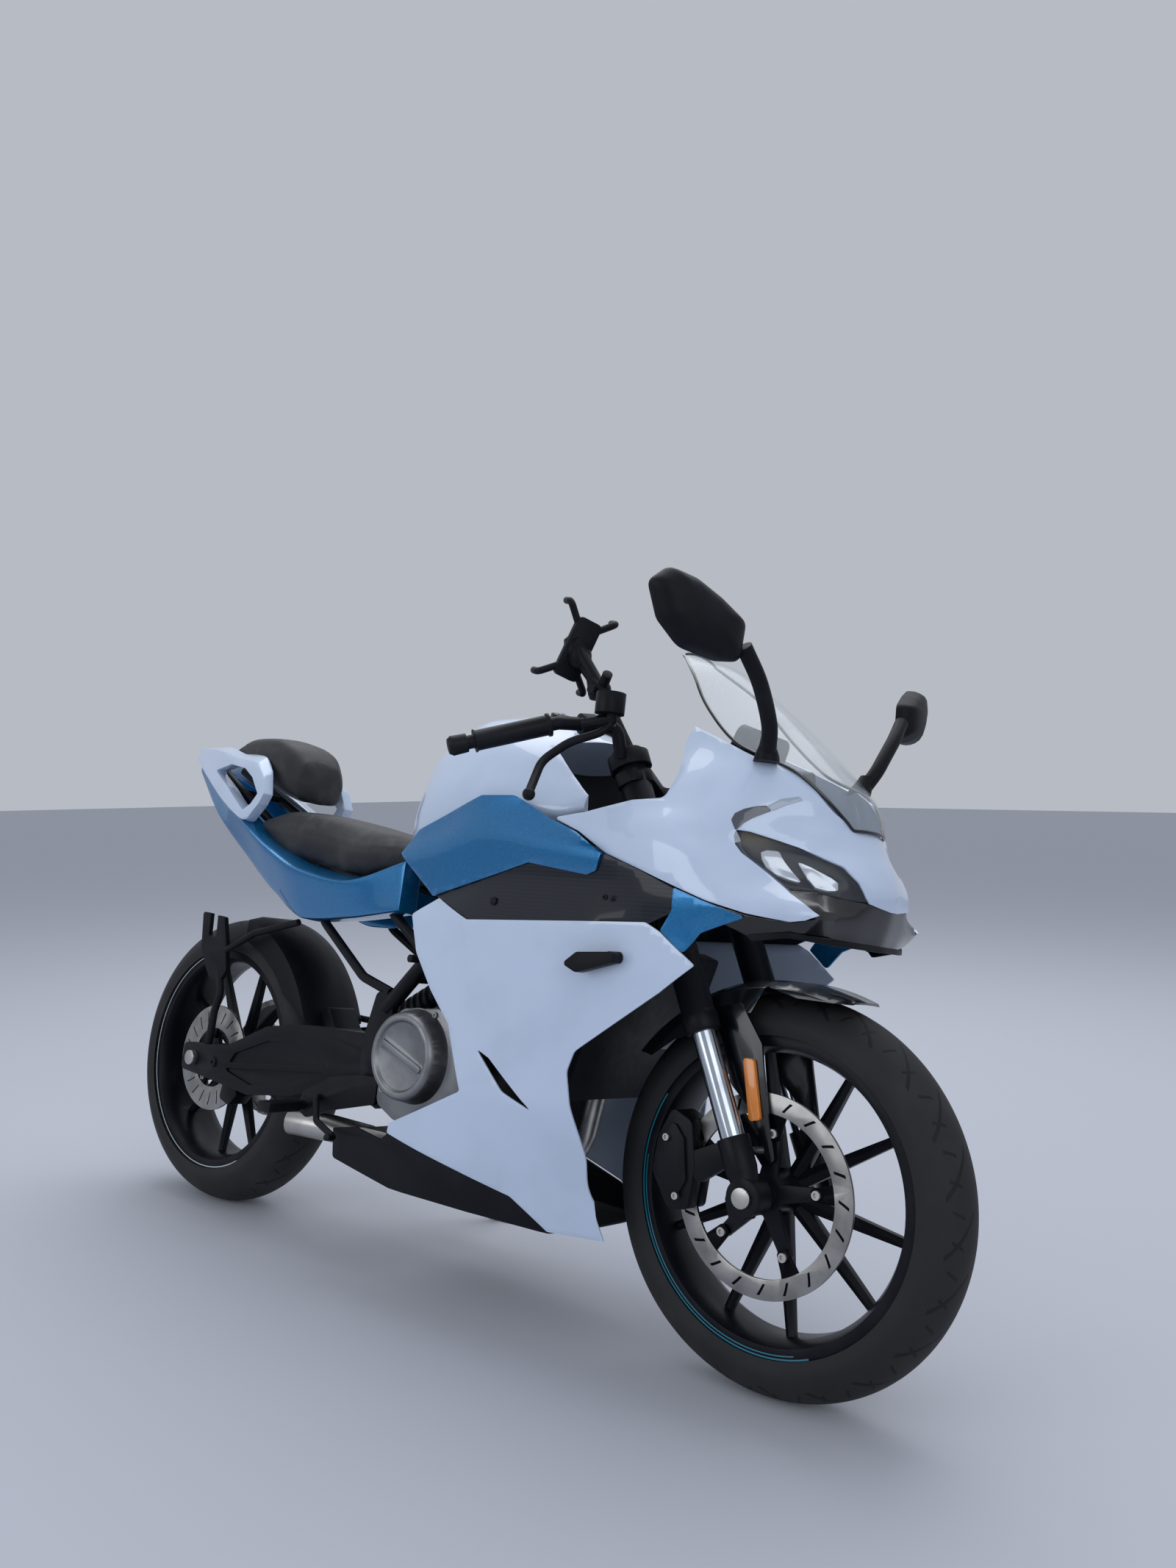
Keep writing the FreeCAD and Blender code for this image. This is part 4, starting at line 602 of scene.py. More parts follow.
def rounded_line(corners, step=8):
    """A closed line through corners (x, z, radius), each rounded, with points at most a step apart."""
    line = []
    for index, (x, z, radius) in enumerate(corners):
        here = Vector((x, z))
        to_last = Vector(corners[index - 1][:2]) - here
        to_next = Vector(corners[(index + 1) % len(corners)][:2]) - here
        half = to_last.angle(to_next) / 2
        almost_straight = half > 1.54
        if radius < 0.5 or almost_straight:
            line.append(here)
            continue
        reach = min(radius / math.tan(half), to_last.length * 0.48, to_next.length * 0.48)
        first = here + to_last.normalized() * reach
        last = here + to_next.normalized() * reach
        parts = max(3, min(10, int(reach / 2)))
        for k in range(parts + 1):
            t = k / parts
            line.append(first * (1 - t) ** 2 + here * (2 * t * (1 - t)) + last * t * t)
    full = []
    for here, following in zip(line, line[1:] + line[:1]):
        parts = max(1, math.ceil((following - here).length / step))
        full += [here.lerp(following, k / parts) for k in range(parts)]
    return [(spot.x, spot.y) for spot in full]


def inset(corners, by):
    """The same outline drawn in by a distance at every corner."""
    spots = [Vector(corner[:2]) for corner in corners]
    area = sum(a.x * b.y - b.x * a.y for a, b in zip(spots, spots[1:] + spots[:1]))
    sign = 1 if area > 0 else -1
    made = []
    for index, here in enumerate(spots):
        before = (here - spots[index - 1]).normalized()
        after = (spots[(index + 1) % len(spots)] - here).normalized()
        normal = Vector((-before.y - after.y, before.x + after.x)) * sign
        spot = here + normal.normalized() * by / max(normal.length / 2, 0.35)
        made.append((spot.x, spot.y, corners[index][2]))
    return made


def sheet_mesh(corners, surface, hand, joined):
    """A fine sheet on a surface inside an outline; joined adds its mirror image across the middle."""
    grid = 12
    closest = 0.4
    flat = []
    for x, z in rounded_line(corners):
        spot = surface.flat(x, z)
        if not flat or (Vector(spot) - Vector(flat[-1])).length > closest:
            flat.append(spot)
    if (Vector(flat[0]) - Vector(flat[-1])).length < closest:
        flat.pop()
    work = bmesh.new()
    work.faces.new([work.verts.new((u, 0, v)) for u, v in flat])
    for axis in (0, 2):
        values = [vert.co[axis] for vert in work.verts]
        normal = Vector((1, 0, 0)) if axis == 0 else Vector((0, 0, 1))
        off_corners = 0.013
        line = math.ceil(min(values) / grid) * grid + off_corners
        while line < max(values):
            bmesh.ops.bisect_plane(work, geom=work.verts[:] + work.edges[:] + work.faces[:], dist=0.02,
                                   plane_co=normal * line, plane_no=normal)
            line += grid
    for vert in work.verts:
        vert.co = surface.spot(vert.co.x, vert.co.z)
    work.normal_update()
    if sum(face.normal.y * face.calc_area() for face in work.faces) > 0:
        bmesh.ops.reverse_faces(work, faces=work.faces)
    if joined:
        copied = bmesh.ops.duplicate(work, geom=work.verts[:] + work.edges[:] + work.faces[:])["geom"]
        for part in copied:
            if isinstance(part, bmesh.types.BMVert):
                part.co.y = -part.co.y
        bmesh.ops.reverse_faces(work, faces=[part for part in copied if isinstance(part, bmesh.types.BMFace)])
        seam = 0.2
        bmesh.ops.remove_doubles(work, verts=work.verts, dist=seam)
    elif hand > 0:
        for vert in work.verts:
            vert.co.y = -vert.co.y
        bmesh.ops.reverse_faces(work, faces=work.faces)
    for vert in work.verts:
        vert.co = place(*vert.co)
    return written(work, "sheet")


STEERING_LIMIT = math.radians(28)
# section of the room as (radius, side)
WHEEL_ROOM = [(150, -64), (262, -64), (285, -50), (298, -26), (302, 0), (298, 26), (285, 50), (262, 64),
              (150, 64)]


def steered(up):
    """A point on the steering axis, counted along it from the ground."""
    return WHEELBASE + TRAIL - up * math.sin(RAKE), 0, up * math.cos(RAKE)


HEAD_FOOT, HEAD_TOP = steered(700), steered(1100)


def wheel_room(turn):
    """The room that the front tyre needs when the bars are turned by an angle."""
    foot = place(*HEAD_FOOT)
    axis = (place(*HEAD_TOP) - foot).normalized()
    turned = Matrix.Translation(foot) @ Matrix.Rotation(turn, 4, axis) @ Matrix.Translation(-foot)
    rings = []
    for c, s in circle(1, 96):
        rings.append([turned @ place(WHEELBASE + r * c, y, FRONT_RADIUS + r * s) for r, y in WHEEL_ROOM])
    return ring_mesh("room", rings, closed=True)


def panel(name, node, corners, surface, material, hand=-1, thick=3.2, inside=None, joined=False, hole=None):
    """A panel with wall and rolled edge, its back in black plastic, and a hole where one is asked."""
    mesh = sheet_mesh(corners, surface, hand, joined)
    mesh.materials.append(material)
    mesh.materials.append(inside or PLASTIC)
    mesh = evaluated(mesh, [
        ("SOLIDIFY", {"thickness": thick / 1000, "offset": -1, "use_even_offset": False, "material_offset": 1,
                      "material_offset_rim": 0})])
    if hole:
        mesh = combined(mesh, "DIFFERENCE", prism_mesh(hole, hand * 90, hand * 300))
        for turn in (STEERING_LIMIT, -STEERING_LIMIT):
            mesh = combined(mesh, "DIFFERENCE", wheel_room(turn))
    return finish_mesh(edged(mesh, 0.9, 60, 2), name, [material, inside or PLASTIC], node)


def loft_mesh(stations, ring_of, soft, parts=6):
    """A closed form through stations along x, smooth along its length and with softened corners."""
    step = 12
    places = [station[0] for station in stations]
    rings = [ring_of(station) for station in stations]
    tracks = [[Track(places, [ring[k][axis] for ring in rings]) for axis in (0, 1)]
              for k in range(len(rings[0]))]
    count = len(tracks)
    run = max(2, math.ceil((places[-1] - places[0]) / step))
    shares = (-1, -0.6, -0.2, 0.2, 0.6, 1)
    rings = []
    for row in range(run + 1):
        x = places[0] + (places[-1] - places[0]) * row / run
        ring = [(y(x), z(x)) for y, z in tracks]
        ring.append(ring[0])
        rings.append([])
        for k in range(count * parts):
            total = Vector((0, 0))
            for share in shares:
                total += Vector(along_line(ring, (k / parts + share * soft) % count)) / len(shares)
            rings[-1].append(place(x, total.x, total.y))
    return ring_mesh("loft", rings)


def whole_ring(half, top):
    """A section from its right half over the top to its left half, as (y, z)."""
    return [(-wide, high) for wide, high in half] + [(0, top)] + [(wide, high) for wide, high in half[::-1]]


def prism_mesh(corners, side_from, side_to):
    """A plate between two y values, for cutting."""
    line = rounded_line(corners)
    return ring_mesh("prism", [[place(x, side, z) for x, z in line] for side in (side_from, side_to)])


def mirrored_mesh(mesh):
    """The mirror image of a mesh across the bike's middle plane."""
    work = bmesh.new()
    work.from_mesh(mesh)
    for vert in work.verts:
        upright = LEANED.inverted() @ (vert.co - SHIFT)
        upright.y = -upright.y
        vert.co = LEANED @ upright + SHIFT
    bmesh.ops.reverse_faces(work, faces=work.faces)
    return written(work, "mirrored")


def lathe_mesh(profile, axle):
    """A closed profile of (radius, side) turned about an axle, with (share of a turn, side) as its map."""
    segments = 192
    work = bmesh.new()
    layer = work.loops.layers.uv.new("turn")
    loops = [[work.verts.new(place(axle[0] + r * c, side, axle[1] + r * s)) for r, side in profile]
             for c, s in circle(1, segments)]
    for step in range(segments):
        this, following = loops[step], loops[(step + 1) % segments]
        for k in range(len(profile)):
            after = (k + 1) % len(profile)
            face = work.faces.new((this[k], this[after], following[after], following[k]))
            corners = ((step, k), (step, after), (step + 1, after), (step + 1, k))
            for loop, (turn_at, row) in zip(face.loops, corners):
                loop[layer].uv = (turn_at / segments, profile[row][1])
    bmesh.ops.recalc_face_normals(work, faces=work.faces)
    return written(work, "lathe")


def tube_mesh(spots, radius, sides=10):
    """A tube of a radius along points of the upright bike, smoothed where there are more than two."""
    run = [place(*spot) for spot in spots]
    if len(spots) > 2:
        per_span = 6
        tracks = [Track(range(len(spots)), [spot[k] for spot in spots]) for k in range(3)]
        run = [place(*(track(step / per_span) for track in tracks))
               for step in range(per_span * (len(spots) - 1) + 1)]
    rings = []
    across = (run[1] - run[0]).orthogonal()
    for index, spot in enumerate(run):
        ahead_of = (run[min(index + 1, len(run) - 1)] - run[max(index - 1, 0)]).normalized()
        across = (across - ahead_of * across.dot(ahead_of)).normalized()
        other = ahead_of.cross(across)
        rings.append([spot + across * c + other * s for c, s in circle(radius / 1000, sides)])
    return ring_mesh("tube", rings)


def rod_mesh(start, end, radius, sides):
    """A plain closed cylinder between two points of the upright bike."""
    low, high = place(*start), place(*end)
    along = (high - low).normalized()
    across = along.orthogonal().normalized()
    other = along.cross(across)
    return ring_mesh("rod", [[spot + across * c + other * s for c, s in circle(radius / 1000, sides)]
                             for spot in (low, high)])


def loft_round(stations):
    """A closed form of round sections (x, y, z, radius) square to z."""
    return ring_mesh("round", [[place(x + a, y + b, z) for a, b in circle(r, 24)] for x, y, z, r in stations])


# Fairing panels: the side surface and the nose, then outlines in side view as (x, z, corner radius)
# columns of the side: x, then (half width, height) at top, crest, belt, sill, waist, flank, hem and keel
FLANK_STATIONS = [
    (500, (136, 752), (148, 735), (144, 690), (156, 640), (166, 470), (168, 370), (166, 245), (140, 166)),
    (700, (173, 806), (183, 764), (168, 684), (184, 650), (192, 470), (195, 370), (186, 245), (150, 166)),
    (850, (200, 846), (207, 798), (192, 716), (206, 650), (206, 470), (206, 370), (178, 245), (146, 166)),
    (1000, (204, 836), (226, 780), (212, 722), (221, 655), (212, 470), (204, 370), (156, 245), (132, 166)),
    (1120, (214, 800), (236, 768), (226, 722), (231, 660), (216, 470), (188, 370), (138, 245), (104, 166)),
    (1230, (224, 775), (238, 742), (238, 704), (232, 668), (214, 470), (176, 370), (130, 245), (92, 166)),
    (1330, (222, 740), (230, 712), (226, 690), (214, 640), (204, 470), (168, 370), (126, 245), (86, 166)),
    (1400, (204, 735), (210, 705), (202, 688), (180, 640), (170, 470), (150, 370), (120, 245), (80, 166)),
]
FLANK = Flank(FLANK_STATIONS)
FLANK_INNER = Flank(FLANK_STATIONS, depth=4.2)
BELT = [(703, 681, 5), (957, 747, 10), (1091, 732, 12), (1111, 739, 5), (1121, 766, 3)]
SILL = [(726, 680, 6), (824, 647, 12), (1216, 669, 14), (1262, 690, 8)]
COWL_EDGE = [(991, 824, 3), (1056, 802, 20), (1124, 768, 3), (1202, 744, 20), (1316, 707, 16), (1374, 694, 3)]
HEM = [(680, 266, 4), (947, 211, 20), (1014, 168, 4)]


def moved(line, up):
    """An outline raised by a distance."""
    return [(x, z + up, radius) for x, z, radius in line]


LOWER = [(667, 646, 6)] + moved(SILL[:3], -1) + [
    (1242, 656, 4), (1301, 613, 3), (1246, 568, 30), (1094, 462, 24), (1078, 430, 24), (1082, 380, 40),
    (1100, 300, 60), (1094, 250, 60), (1134, 174, 6)] + moved(HEM[::-1], 1) + [
    (684, 284, 4), (858, 366, 6), (812, 470, 14), (754, 520, 60), (697, 581, 40)]
SIDE_BLUE = [(600, 756, 6)] + moved(BELT, 1) + [
    (1056, 800, 20), (990, 822, 4), (900, 860, 30), (820, 860, 20), (640, 800, 20)]
INSERT = moved(SILL, -4) + [(1262, 720, 8)] + moved(COWL_EDGE[3:1:-1], -1) + moved(BELT[::-1][1:], 5)
SLOT = [(884, 440, 3), (916, 428, 8), (1012, 358, 2), (948, 380, 20)]
DUCT = [(1263, 689, 3), (1243, 658, 4), (1282, 628, 8), (1309, 660, 10), (1374, 688, 3), (1316, 705, 10),
        (1263, 722, 3)]

# columns of the nose: z, front x, then (x, half width) at shoulder, lamp corner, widest and rear
NOSE_LEVELS = [
    (672, 1488, (1476, 80), (1440, 178), (1310, 222), (985, 222)),
    (700, 1496, (1486, 80), (1468, 178), (1320, 232), (985, 222)),
    (740, 1503, (1492, 76), (1400, 174), (1290, 240), (985, 210)),
    (775, 1497, (1463, 112), (1350, 188), (1270, 242), (985, 206)),
    (810, 1480, (1430, 125), (1332, 194), (1240, 234), (985, 203)),
    (850, 1456, (1432, 95), (1342, 186), (1238, 208), (985, 198)),
    (900, 1422, (1402, 108), (1340, 168), (1255, 182), (985, 176)),
    (945, 1388, (1366, 98), (1320, 152), (1255, 154), (985, 150)),
    (1010, 1325, (1300, 85), (1265, 125), (1220, 124), (985, 120)),
]
NOSE = Nose(NOSE_LEVELS)
LAMP_TOP = [(1492, 728, 2), (1487, 743, 10), (1481, 757, 10), (1464, 777, 14), (1432, 790, 14),
            (1410, 798, 14), (1388, 804, 14), (1350, 814, 6), (1333, 815, 3)]
LAMP_REAR = [(1331, 805, 6), (1334, 794, 6), (1344, 782, 8), (1372, 762, 14), (1394, 746, 14), (1411, 735, 3)]
COWL = [
    (991, 824, 3), (1060, 834, 10), (1147, 855, 20), (1207, 859, 14), (1214, 900, 30), (1199, 955, 8),
    (1203, 984, 3), (1253, 964, 12), (1330, 930, 14), (1363, 922, 14), (1400, 899, 14), (1435, 854, 14),
    (1450, 836, 6), (1540, 834, 0), (1540, 721, 0), (1499, 721, 0)] + LAMP_TOP + LAMP_REAR[:-1] + [
    (1420, 729, 14), (1446, 715, 10), (1467, 701, 1), (1451, 692, 6), (1432, 688, 10), (1400, 691, 10)
    ] + COWL_EDGE[::-1][:-1]
LENS_LOW = [(1438, 736, 8), (1456, 732, 8), (1473, 729, 6), (1489, 728, 2)]
LAMP = LAMP_TOP + LAMP_REAR + LENS_LOW[:-1]
BEAK = [
    (1330, 700, 4), (1374, 690, 10), (1432, 686, 6), (1464, 696, 4), (1440, 716, 8), (1409, 734, 3)
    ] + LENS_LOW + [
    (1540, 724, 0), (1540, 661, 0), (1465, 664, 4), (1428, 668, 4), (1379, 660, 8), (1319, 684, 4)]
BEAK_LIP = [(1370, 664, 2), (1428, 674, 3), (1465, 670, 3), (1540, 668, 0), (1540, 659, 0), (1465, 662, 3),
            (1428, 666, 3), (1379, 656, 3)]
# painted shade in the nose's scoops, laid flat on its surface: the deep part, then a paler band past it
SCOOP_DEEP_SHADE = [(1333, 813, 2), (1325, 829, 4), (1328, 839, 4), (1339, 847, 6), (1354, 853, 6), (1364, 855, 2),
              (1370, 848, 2), (1351, 834, 8), (1341, 825, 6)]
SCOOP_HALF_SHADE = [(1365, 855, 1), (1377, 868, 6), (1395, 875, 2), (1401, 870, 1), (1384, 859, 6), (1371, 848, 1)]
REAR_EYE = [(1362, 786, 2), (1368, 790, 2), (1383, 790, 5), (1392, 776, 6), (1403, 762, 8), (1417, 747, 2),
            (1403, 750, 8), (1385, 756, 8), (1372, 765, 6), (1365, 776, 5)]
FRONT_EYE = [(1407, 778, 2), (1423, 772, 8), (1448, 759, 6), (1455, 753, 3), (1456, 742, 3), (1446, 740, 4),
             (1432, 743, 6), (1420, 756, 4)]

for hand, side in SIDES:
    for name, node, outline, surface, material, hole in (
            ("side_blue_", "side_panel_", SIDE_BLUE, FLANK, BLUE, None),
            ("side_duct_", "side_panel_", DUCT, FLANK, BLUE, None),
            ("side_carbon_", "side_insert_", INSERT, FLANK_INNER, CARBON, None),
            ("lower_white_", "lower_fairing_", LOWER, FLANK, WHITE, SLOT)):
        piece = panel(name + side, node + side, outline, surface, material, hand, hole=hole)
        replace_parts(piece, node + side)
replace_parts(panel("cowl_white", "upper_cowl", COWL, NOSE, WHITE, joined=True), "upper_cowl")
beak = panel("beak_black", "chin_intake", BEAK, Nose(NOSE_LEVELS, depth=3), GLOSS, joined=True)
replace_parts(beak, "chin_intake")
panel("beak_lip", "chin_intake", BEAK_LIP, Nose(NOSE_LEVELS, depth=1), PLASTIC, thick=5, joined=True)
on_nose = Nose(NOSE_LEVELS, depth=-0.5)
# the shade in each scoop is painted on two thin sheets, in shaded copies of the white paint
for hand, side in SIDES:
    panel("scoop_dark_" + side, "upper_cowl", SCOOP_DEEP_SHADE, on_nose, SHADE_DEEP, hand, thick=1.6)
    panel("scoop_light_" + side, "upper_cowl", SCOOP_HALF_SHADE, on_nose, SHADE_HALF, hand, thick=1.6)

# Fuel tank, cut round the head tube
# columns: x, bottom z, then (half width, z) at lower edge, waist, shoulder and crown, top z
TANK_STATIONS = [
    (578, 756, (118, 760), (118, 830), (92, 905), (40, 945), 950),
    (612, 756, (140, 762), (142, 850), (108, 944), (50, 994), 1002),
    (690, 775, (165, 785), (164, 872), (122, 962), (56, 1026), 1036),
    (800, 790, (184, 826), (178, 880), (134, 968), (58, 1028), 1038),
    (900, 800, (182, 834), (172, 884), (132, 958), (56, 1004), 1014),
    (980, 820, (174, 838), (160, 878), (124, 924), (54, 960), 968),
    (1016, 836, (160, 846), (150, 870), (118, 896), (50, 926), 932),
]
HEAD_ROOM = 152


def tank_ring(station):
    """A tank station as (y, z) round the section."""
    _, bottom, lower, waist, shoulder, crown, top = station
    half = [(lower[0] - 26, bottom), lower, waist, shoulder, crown]
    return whole_ring(half, top)


tank = loft_mesh(TANK_STATIONS, tank_ring, soft=0.3)
tank = combined(tank, "DIFFERENCE", rod_mesh(HEAD_FOOT, HEAD_TOP, HEAD_ROOM, 96))
tank_piece = finish_mesh(edged(tank, 6), "tank_white", [WHITE, PLASTIC], "fuel_tank")
# the face of the cut is black, like the room behind it
head_foot = place(*HEAD_FOOT)
head_line = (place(*HEAD_TOP) - head_foot).normalized()
for face in tank_piece.data.polygons:
    away = face.center - head_foot
    away -= head_line * away.dot(head_line)
    in_cut = away.length < (HEAD_ROOM + 2) / 1000
    faces_axis = face.normal.dot(away.normalized()) < -0.93
    if in_cut and faces_axis:
        face.material_index = 1
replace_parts(tank_piece, "fuel_tank")

# Tail
# columns: x, then (half width, z) at inner top, outer top, outer bottom and inner bottom
WING_STATIONS = [
    (-262, (20, 992), (42, 988), (50, 958), (22, 950)),
    (-160, (40, 990), (68, 978), (84, 908), (60, 896)),
    (-40, (66, 970), (96, 952), (112, 846), (86, 838)),
    (50, (84, 958), (112, 938), (126, 812), (100, 806)),
    (114, (98, 900), (122, 892), (128, 838), (104, 832)),
]
WING_EDGE = [(-280, 1002, 0), (-160, 992, 30), (-40, 964, 60), (52, 960, 16), (92, 921, 16), (112, 868, 5),
             (100, 846, 6), (60, 806, 8), (-40, 846, 40), (-160, 906, 30), (-280, 950, 0)]
WING_WINDOW = [(-132, 926, 5), (-60, 938, 40), (12, 926, 30), (52, 905, 20), (88, 868, 5), (70, 846, 6),
               (44, 832, 6), (-50, 886, 40)]
COVER_STATIONS = [
    (-250, (20, 946), (44, 944), (44, 930), (20, 920)),
    (-100, (40, 890), (84, 876), (80, 822), (40, 810)),
    (40, (70, 822), (122, 812), (96, 738), (50, 728)),
    (160, (88, 772), (142, 756), (100, 664), (60, 656)),
    (285, (96, 728), (148, 712), (112, 616), (70, 612)),
    (420, (96, 712), (150, 696), (126, 626), (80, 622)),
    (594, (100, 742), (142, 744), (146, 650), (100, 644)),
]


def strip_ring(station):
    """A station of the right half of the tail as (y, z) round the section."""
    return [(-wide, high) for wide, high in station[1:]]


wing = loft_mesh(WING_STATIONS, strip_ring, soft=0.06, parts=8)
wing = combined(wing, "INTERSECT", prism_mesh(WING_EDGE, -300, 0))
wing = edged(combined(wing, "DIFFERENCE", prism_mesh(WING_WINDOW, -300, 0)), 3)
cover = edged(loft_mesh(COVER_STATIONS, strip_ring, soft=0.06, parts=8), 5)
for half, name, material, node in (
        (wing, "wings_white", WHITE, "tail_wings"), (cover, "tail_blue", BLUE, "tail_cover")):
    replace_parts(finish_mesh(joined_mesh([half, mirrored_mesh(half)]), name, [material], node), node)

# Seats
# columns: x, bottom z, half width at the bottom, side z, half width at the side, top z
RIDER_STATIONS = [
    (92, 792, 96, 810, 112, 832), (180, 745, 110, 796, 128, 838), (300, 722, 112, 782, 128, 826),
    (420, 712, 104, 765, 120, 806), (520, 730, 84, 768, 100, 794), (577.7, 748, 56, 766, 62, 772)]
PILLION_STATIONS = [
    (-120, 966, 44, 978, 52, 990), (-30, 930, 66, 974, 78, 1006), (50, 896, 78, 958, 90, 1004),
    (106, 874, 76, 936, 86, 986), (140, 862, 56, 906, 66, 952)]


def seat_ring(station):
    """A seat station as (y, z) round the section."""
    _, bottom, low_half, side_z, side_half, top = station
    half = [(low_half, bottom), (side_half, side_z), (side_half * 0.72, top - 6)]
    return whole_ring(half, top)


def swollen(mesh, voxel, cap):
    """A cushion puffed by cloth with its points held within a cap of where they started, both in metres."""
    last_frame = 20
    mesh = evaluated(mesh, [("REMESH", {"mode": "VOXEL", "voxel_size": voxel})])
    rest = [vert.co.copy() for vert in mesh.vertices]
    carrier = in_scene("cushion", mesh)
    cloth = carrier.modifiers.new("cloth", "CLOTH")
    cloth.settings.use_pressure = True
    cloth.settings.uniform_pressure_force = 4
    cloth.settings.effector_weights.gravity = 0
    cloth.point_cache.frame_start = 1
    cloth.point_cache.frame_end = last_frame
    for step in range(1, last_frame + 1):
        bpy.context.scene.frame_set(step)
    made = as_plain(carrier)
    bpy.context.scene.frame_set(1)
    for vert, start in zip(made.vertices, rest):
        move = vert.co - start
        if move.length > cap:
            vert.co = start + move * (cap / move.length)
    return evaluated(made, [("SMOOTH", {"factor": 0.5, "iterations": 4}),
                            ("SUBSURF", {"levels": 1, "render_levels": 1})])


for name, stations, node in (("rider_pad", RIDER_STATIONS, "rider_seat"),
                             ("pillion_pad", PILLION_STATIONS, "pillion_seat")):
    pad = edged(loft_mesh(stations, seat_ring, soft=0.22), 10)
    pad = swollen(pad, 0.006, 0.005)
    piece = finish_mesh(pad, name, [SEAT], node, sharp=60)
    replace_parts(piece, node)

# Screen
# columns: (x, z) on the middle line and (x, half width, z) at the edge
SCREEN_ROWS = [
    ((1463, 838), (1450, 50, 836)), ((1447, 884), (1420, 92, 878)), ((1409, 928), (1384, 120, 912)),
    ((1345, 988), (1296, 146, 950)), ((1270, 1050), (1222, 132, 1015)), ((1190, 1108), (1170, 104, 1078)),
    ((1112, 1136), (1110, 50, 1128))]
rows = list(range(len(SCREEN_ROWS)))
middle_x, middle_z = [Track(rows, [row[0][k] for row in SCREEN_ROWS]) for k in (0, 1)]
edge_x, edge_wide, edge_z = [Track(rows, [row[1][k] for row in SCREEN_ROWS]) for k in (0, 1, 2)]


def screen_spot(row, share):
    """A point of the screen by row and by its share of the way out to an edge, from -1 to 1."""
    sag = share * share
    return (middle_x(row) + (edge_x(row) - middle_x(row)) * sag, share * edge_wide(row),
            middle_z(row) + (edge_z(row) - middle_z(row)) * sag)


def screen_mesh():
    """The screen as a sheet with a wall of three millimetres."""
    per_row, to_edge = 5, 14
    work = bmesh.new()
    lines = [[work.verts.new(place(*screen_spot(row / per_row, share / to_edge)))
              for share in range(-to_edge, to_edge + 1)] for row in range(per_row * (len(rows) - 1) + 1)]
    for low, high in zip(lines, lines[1:]):
        for k in range(len(low) - 1):
            work.faces.new((low[k], low[k + 1], high[k + 1], high[k]))
    work.normal_update()
    if sum(face.normal.z for face in work.faces) < 0:
        bmesh.ops.reverse_faces(work, faces=work.faces)
    return evaluated(written(work, "screen"), [("SOLIDIFY", {"thickness": 0.003, "offset": -1})])


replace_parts(finish_mesh(screen_mesh(), "screen_clear", [SCREEN], "windscreen"), "windscreen")
# the edging: down the left edge, round the foot, up the right edge and round the top
edge_run = [screen_spot(row / 4, 1) for row in range(4 * (len(rows) - 1), -1, -1)]
edge_run += [screen_spot(0, share / 4) for share in range(3, -5, -1)]
edge_run += [screen_spot(row / 4, -1) for row in range(1, 4 * (len(rows) - 1) + 1)]
edge_run += [screen_spot(rows[-1], share / 4) for share in range(-3, 5)]
finish_mesh(tube_mesh(edge_run, 2.6, 8), "screen_edging", [GLOSS], "windscreen")

# Headlamps: clear lens, dark bowl and two pale elements, each at its depth behind the nose's surface
for hand, side in SIDES:
    for name, outline, depth, material, thick, inside in (
            ("lamp_lens_", inset(LAMP, 1.5), 1.5, LENS, 2, LENS),
            ("lamp_bowl_", inset(LAMP, -2), 14, BOWL, 2, None),
            ("lamp_rear_eye_", REAR_EYE, 7, EYE, 6, EYE),
            ("lamp_front_eye_", FRONT_EYE, 7, EYE, 6, EYE)):
        surface = Nose(NOSE_LEVELS, depth=depth)
        piece = panel(name + side, "headlamps", outline, surface, material, hand, thick=thick, inside=inside)
        if material == LENS:
            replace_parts(piece, "headlamps")


# Tyres: crowned tread and rounded walls, with the grooves and their painted shade in the material
def tyre_profile(radius, half, crown_height):
    """A tyre's closed section as (radius, side): the tread, then a wall down to the bead on either side."""
    round_radius = (crown_height * crown_height + half * half) / (2 * crown_height)
    sweep = math.asin(half / round_radius)
    tread = [(radius - round_radius * (1 - math.cos(sweep * k / 16)), round_radius * math.sin(sweep * k / 16))
             for k in range(-16, 17)]
    shoulder = radius - crown_height
    wall = [(shoulder - 8, half - 0.4), (shoulder - 18, half * 0.965), (BEAD_RADIUS + 16, half * 0.87),
            (BEAD_RADIUS + 8, half * 0.82), (BEAD_RADIUS, half * 0.78), (BEAD_RADIUS - 4, half * 0.74)]
    return tread + wall + [(r, -side) for r, side in reversed(wall)]


for node, axle, half, crown_height in (
        ("front_tyre", FRONT_AXLE, FRONT_HALF, 46), ("rear_tyre", REAR_AXLE, REAR_HALF, 52)):
    mesh = lathe_mesh(tyre_profile(axle[1], half, crown_height), axle)
    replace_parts(finish_mesh(mesh, node + "_treaded", [TREAD], node, sharp=60), node)

# Hard parts: their own shapes with rounded edges
for width, listed in (
        (2.5, "engine_block clutch_cover left_covers swingarm front_caliper rear_caliper belly_pan"),
        (1.2, "main_frame subframe radiator exhaust triple_clamps handlebars levers phone_holder "
              "cockpit_panel footpegs fork_feet front_mudguard rear_hugger indicators reflectors side_stand "
              "tail_lamp rear_shock"),
        (1.0, "front_rim rear_rim fork_outer_tubes front_axle rear_axle"),
        (0.4, "front_disc rear_disc rear_sprocket")):
    for node in listed.split():
        softened(node, width)

# Mirrors: a stalk, a boot and a domed shell swept back by its own angle; the outline is (out, up, radius)
MIRROR = [(6, 34, 16), (10, -20, 10), (46, -26, 30), (108, -18, 40), (146, 14, 24), (166, 64, 16),
          (140, 88, 14), (100, 82, 50), (54, 62, 60)]
GLASS = bare_metal("mirror_glass", (0.75, 0.78, 0.8), 0.14, grain=3)
SHELL_LAYERS = [(-7, 0.9), (-7, 0.955), (-10, 0.965), (-10, 1.0), (-4, 1.01), (4, 0.99), (12, 0.93),
                (19, 0.83), (24, 0.68), (27, 0.48), (28.5, 0.25), (29, 0.06)]
GLASS_LAYERS = [(-8.5, 0.93), (-6, 0.93)]


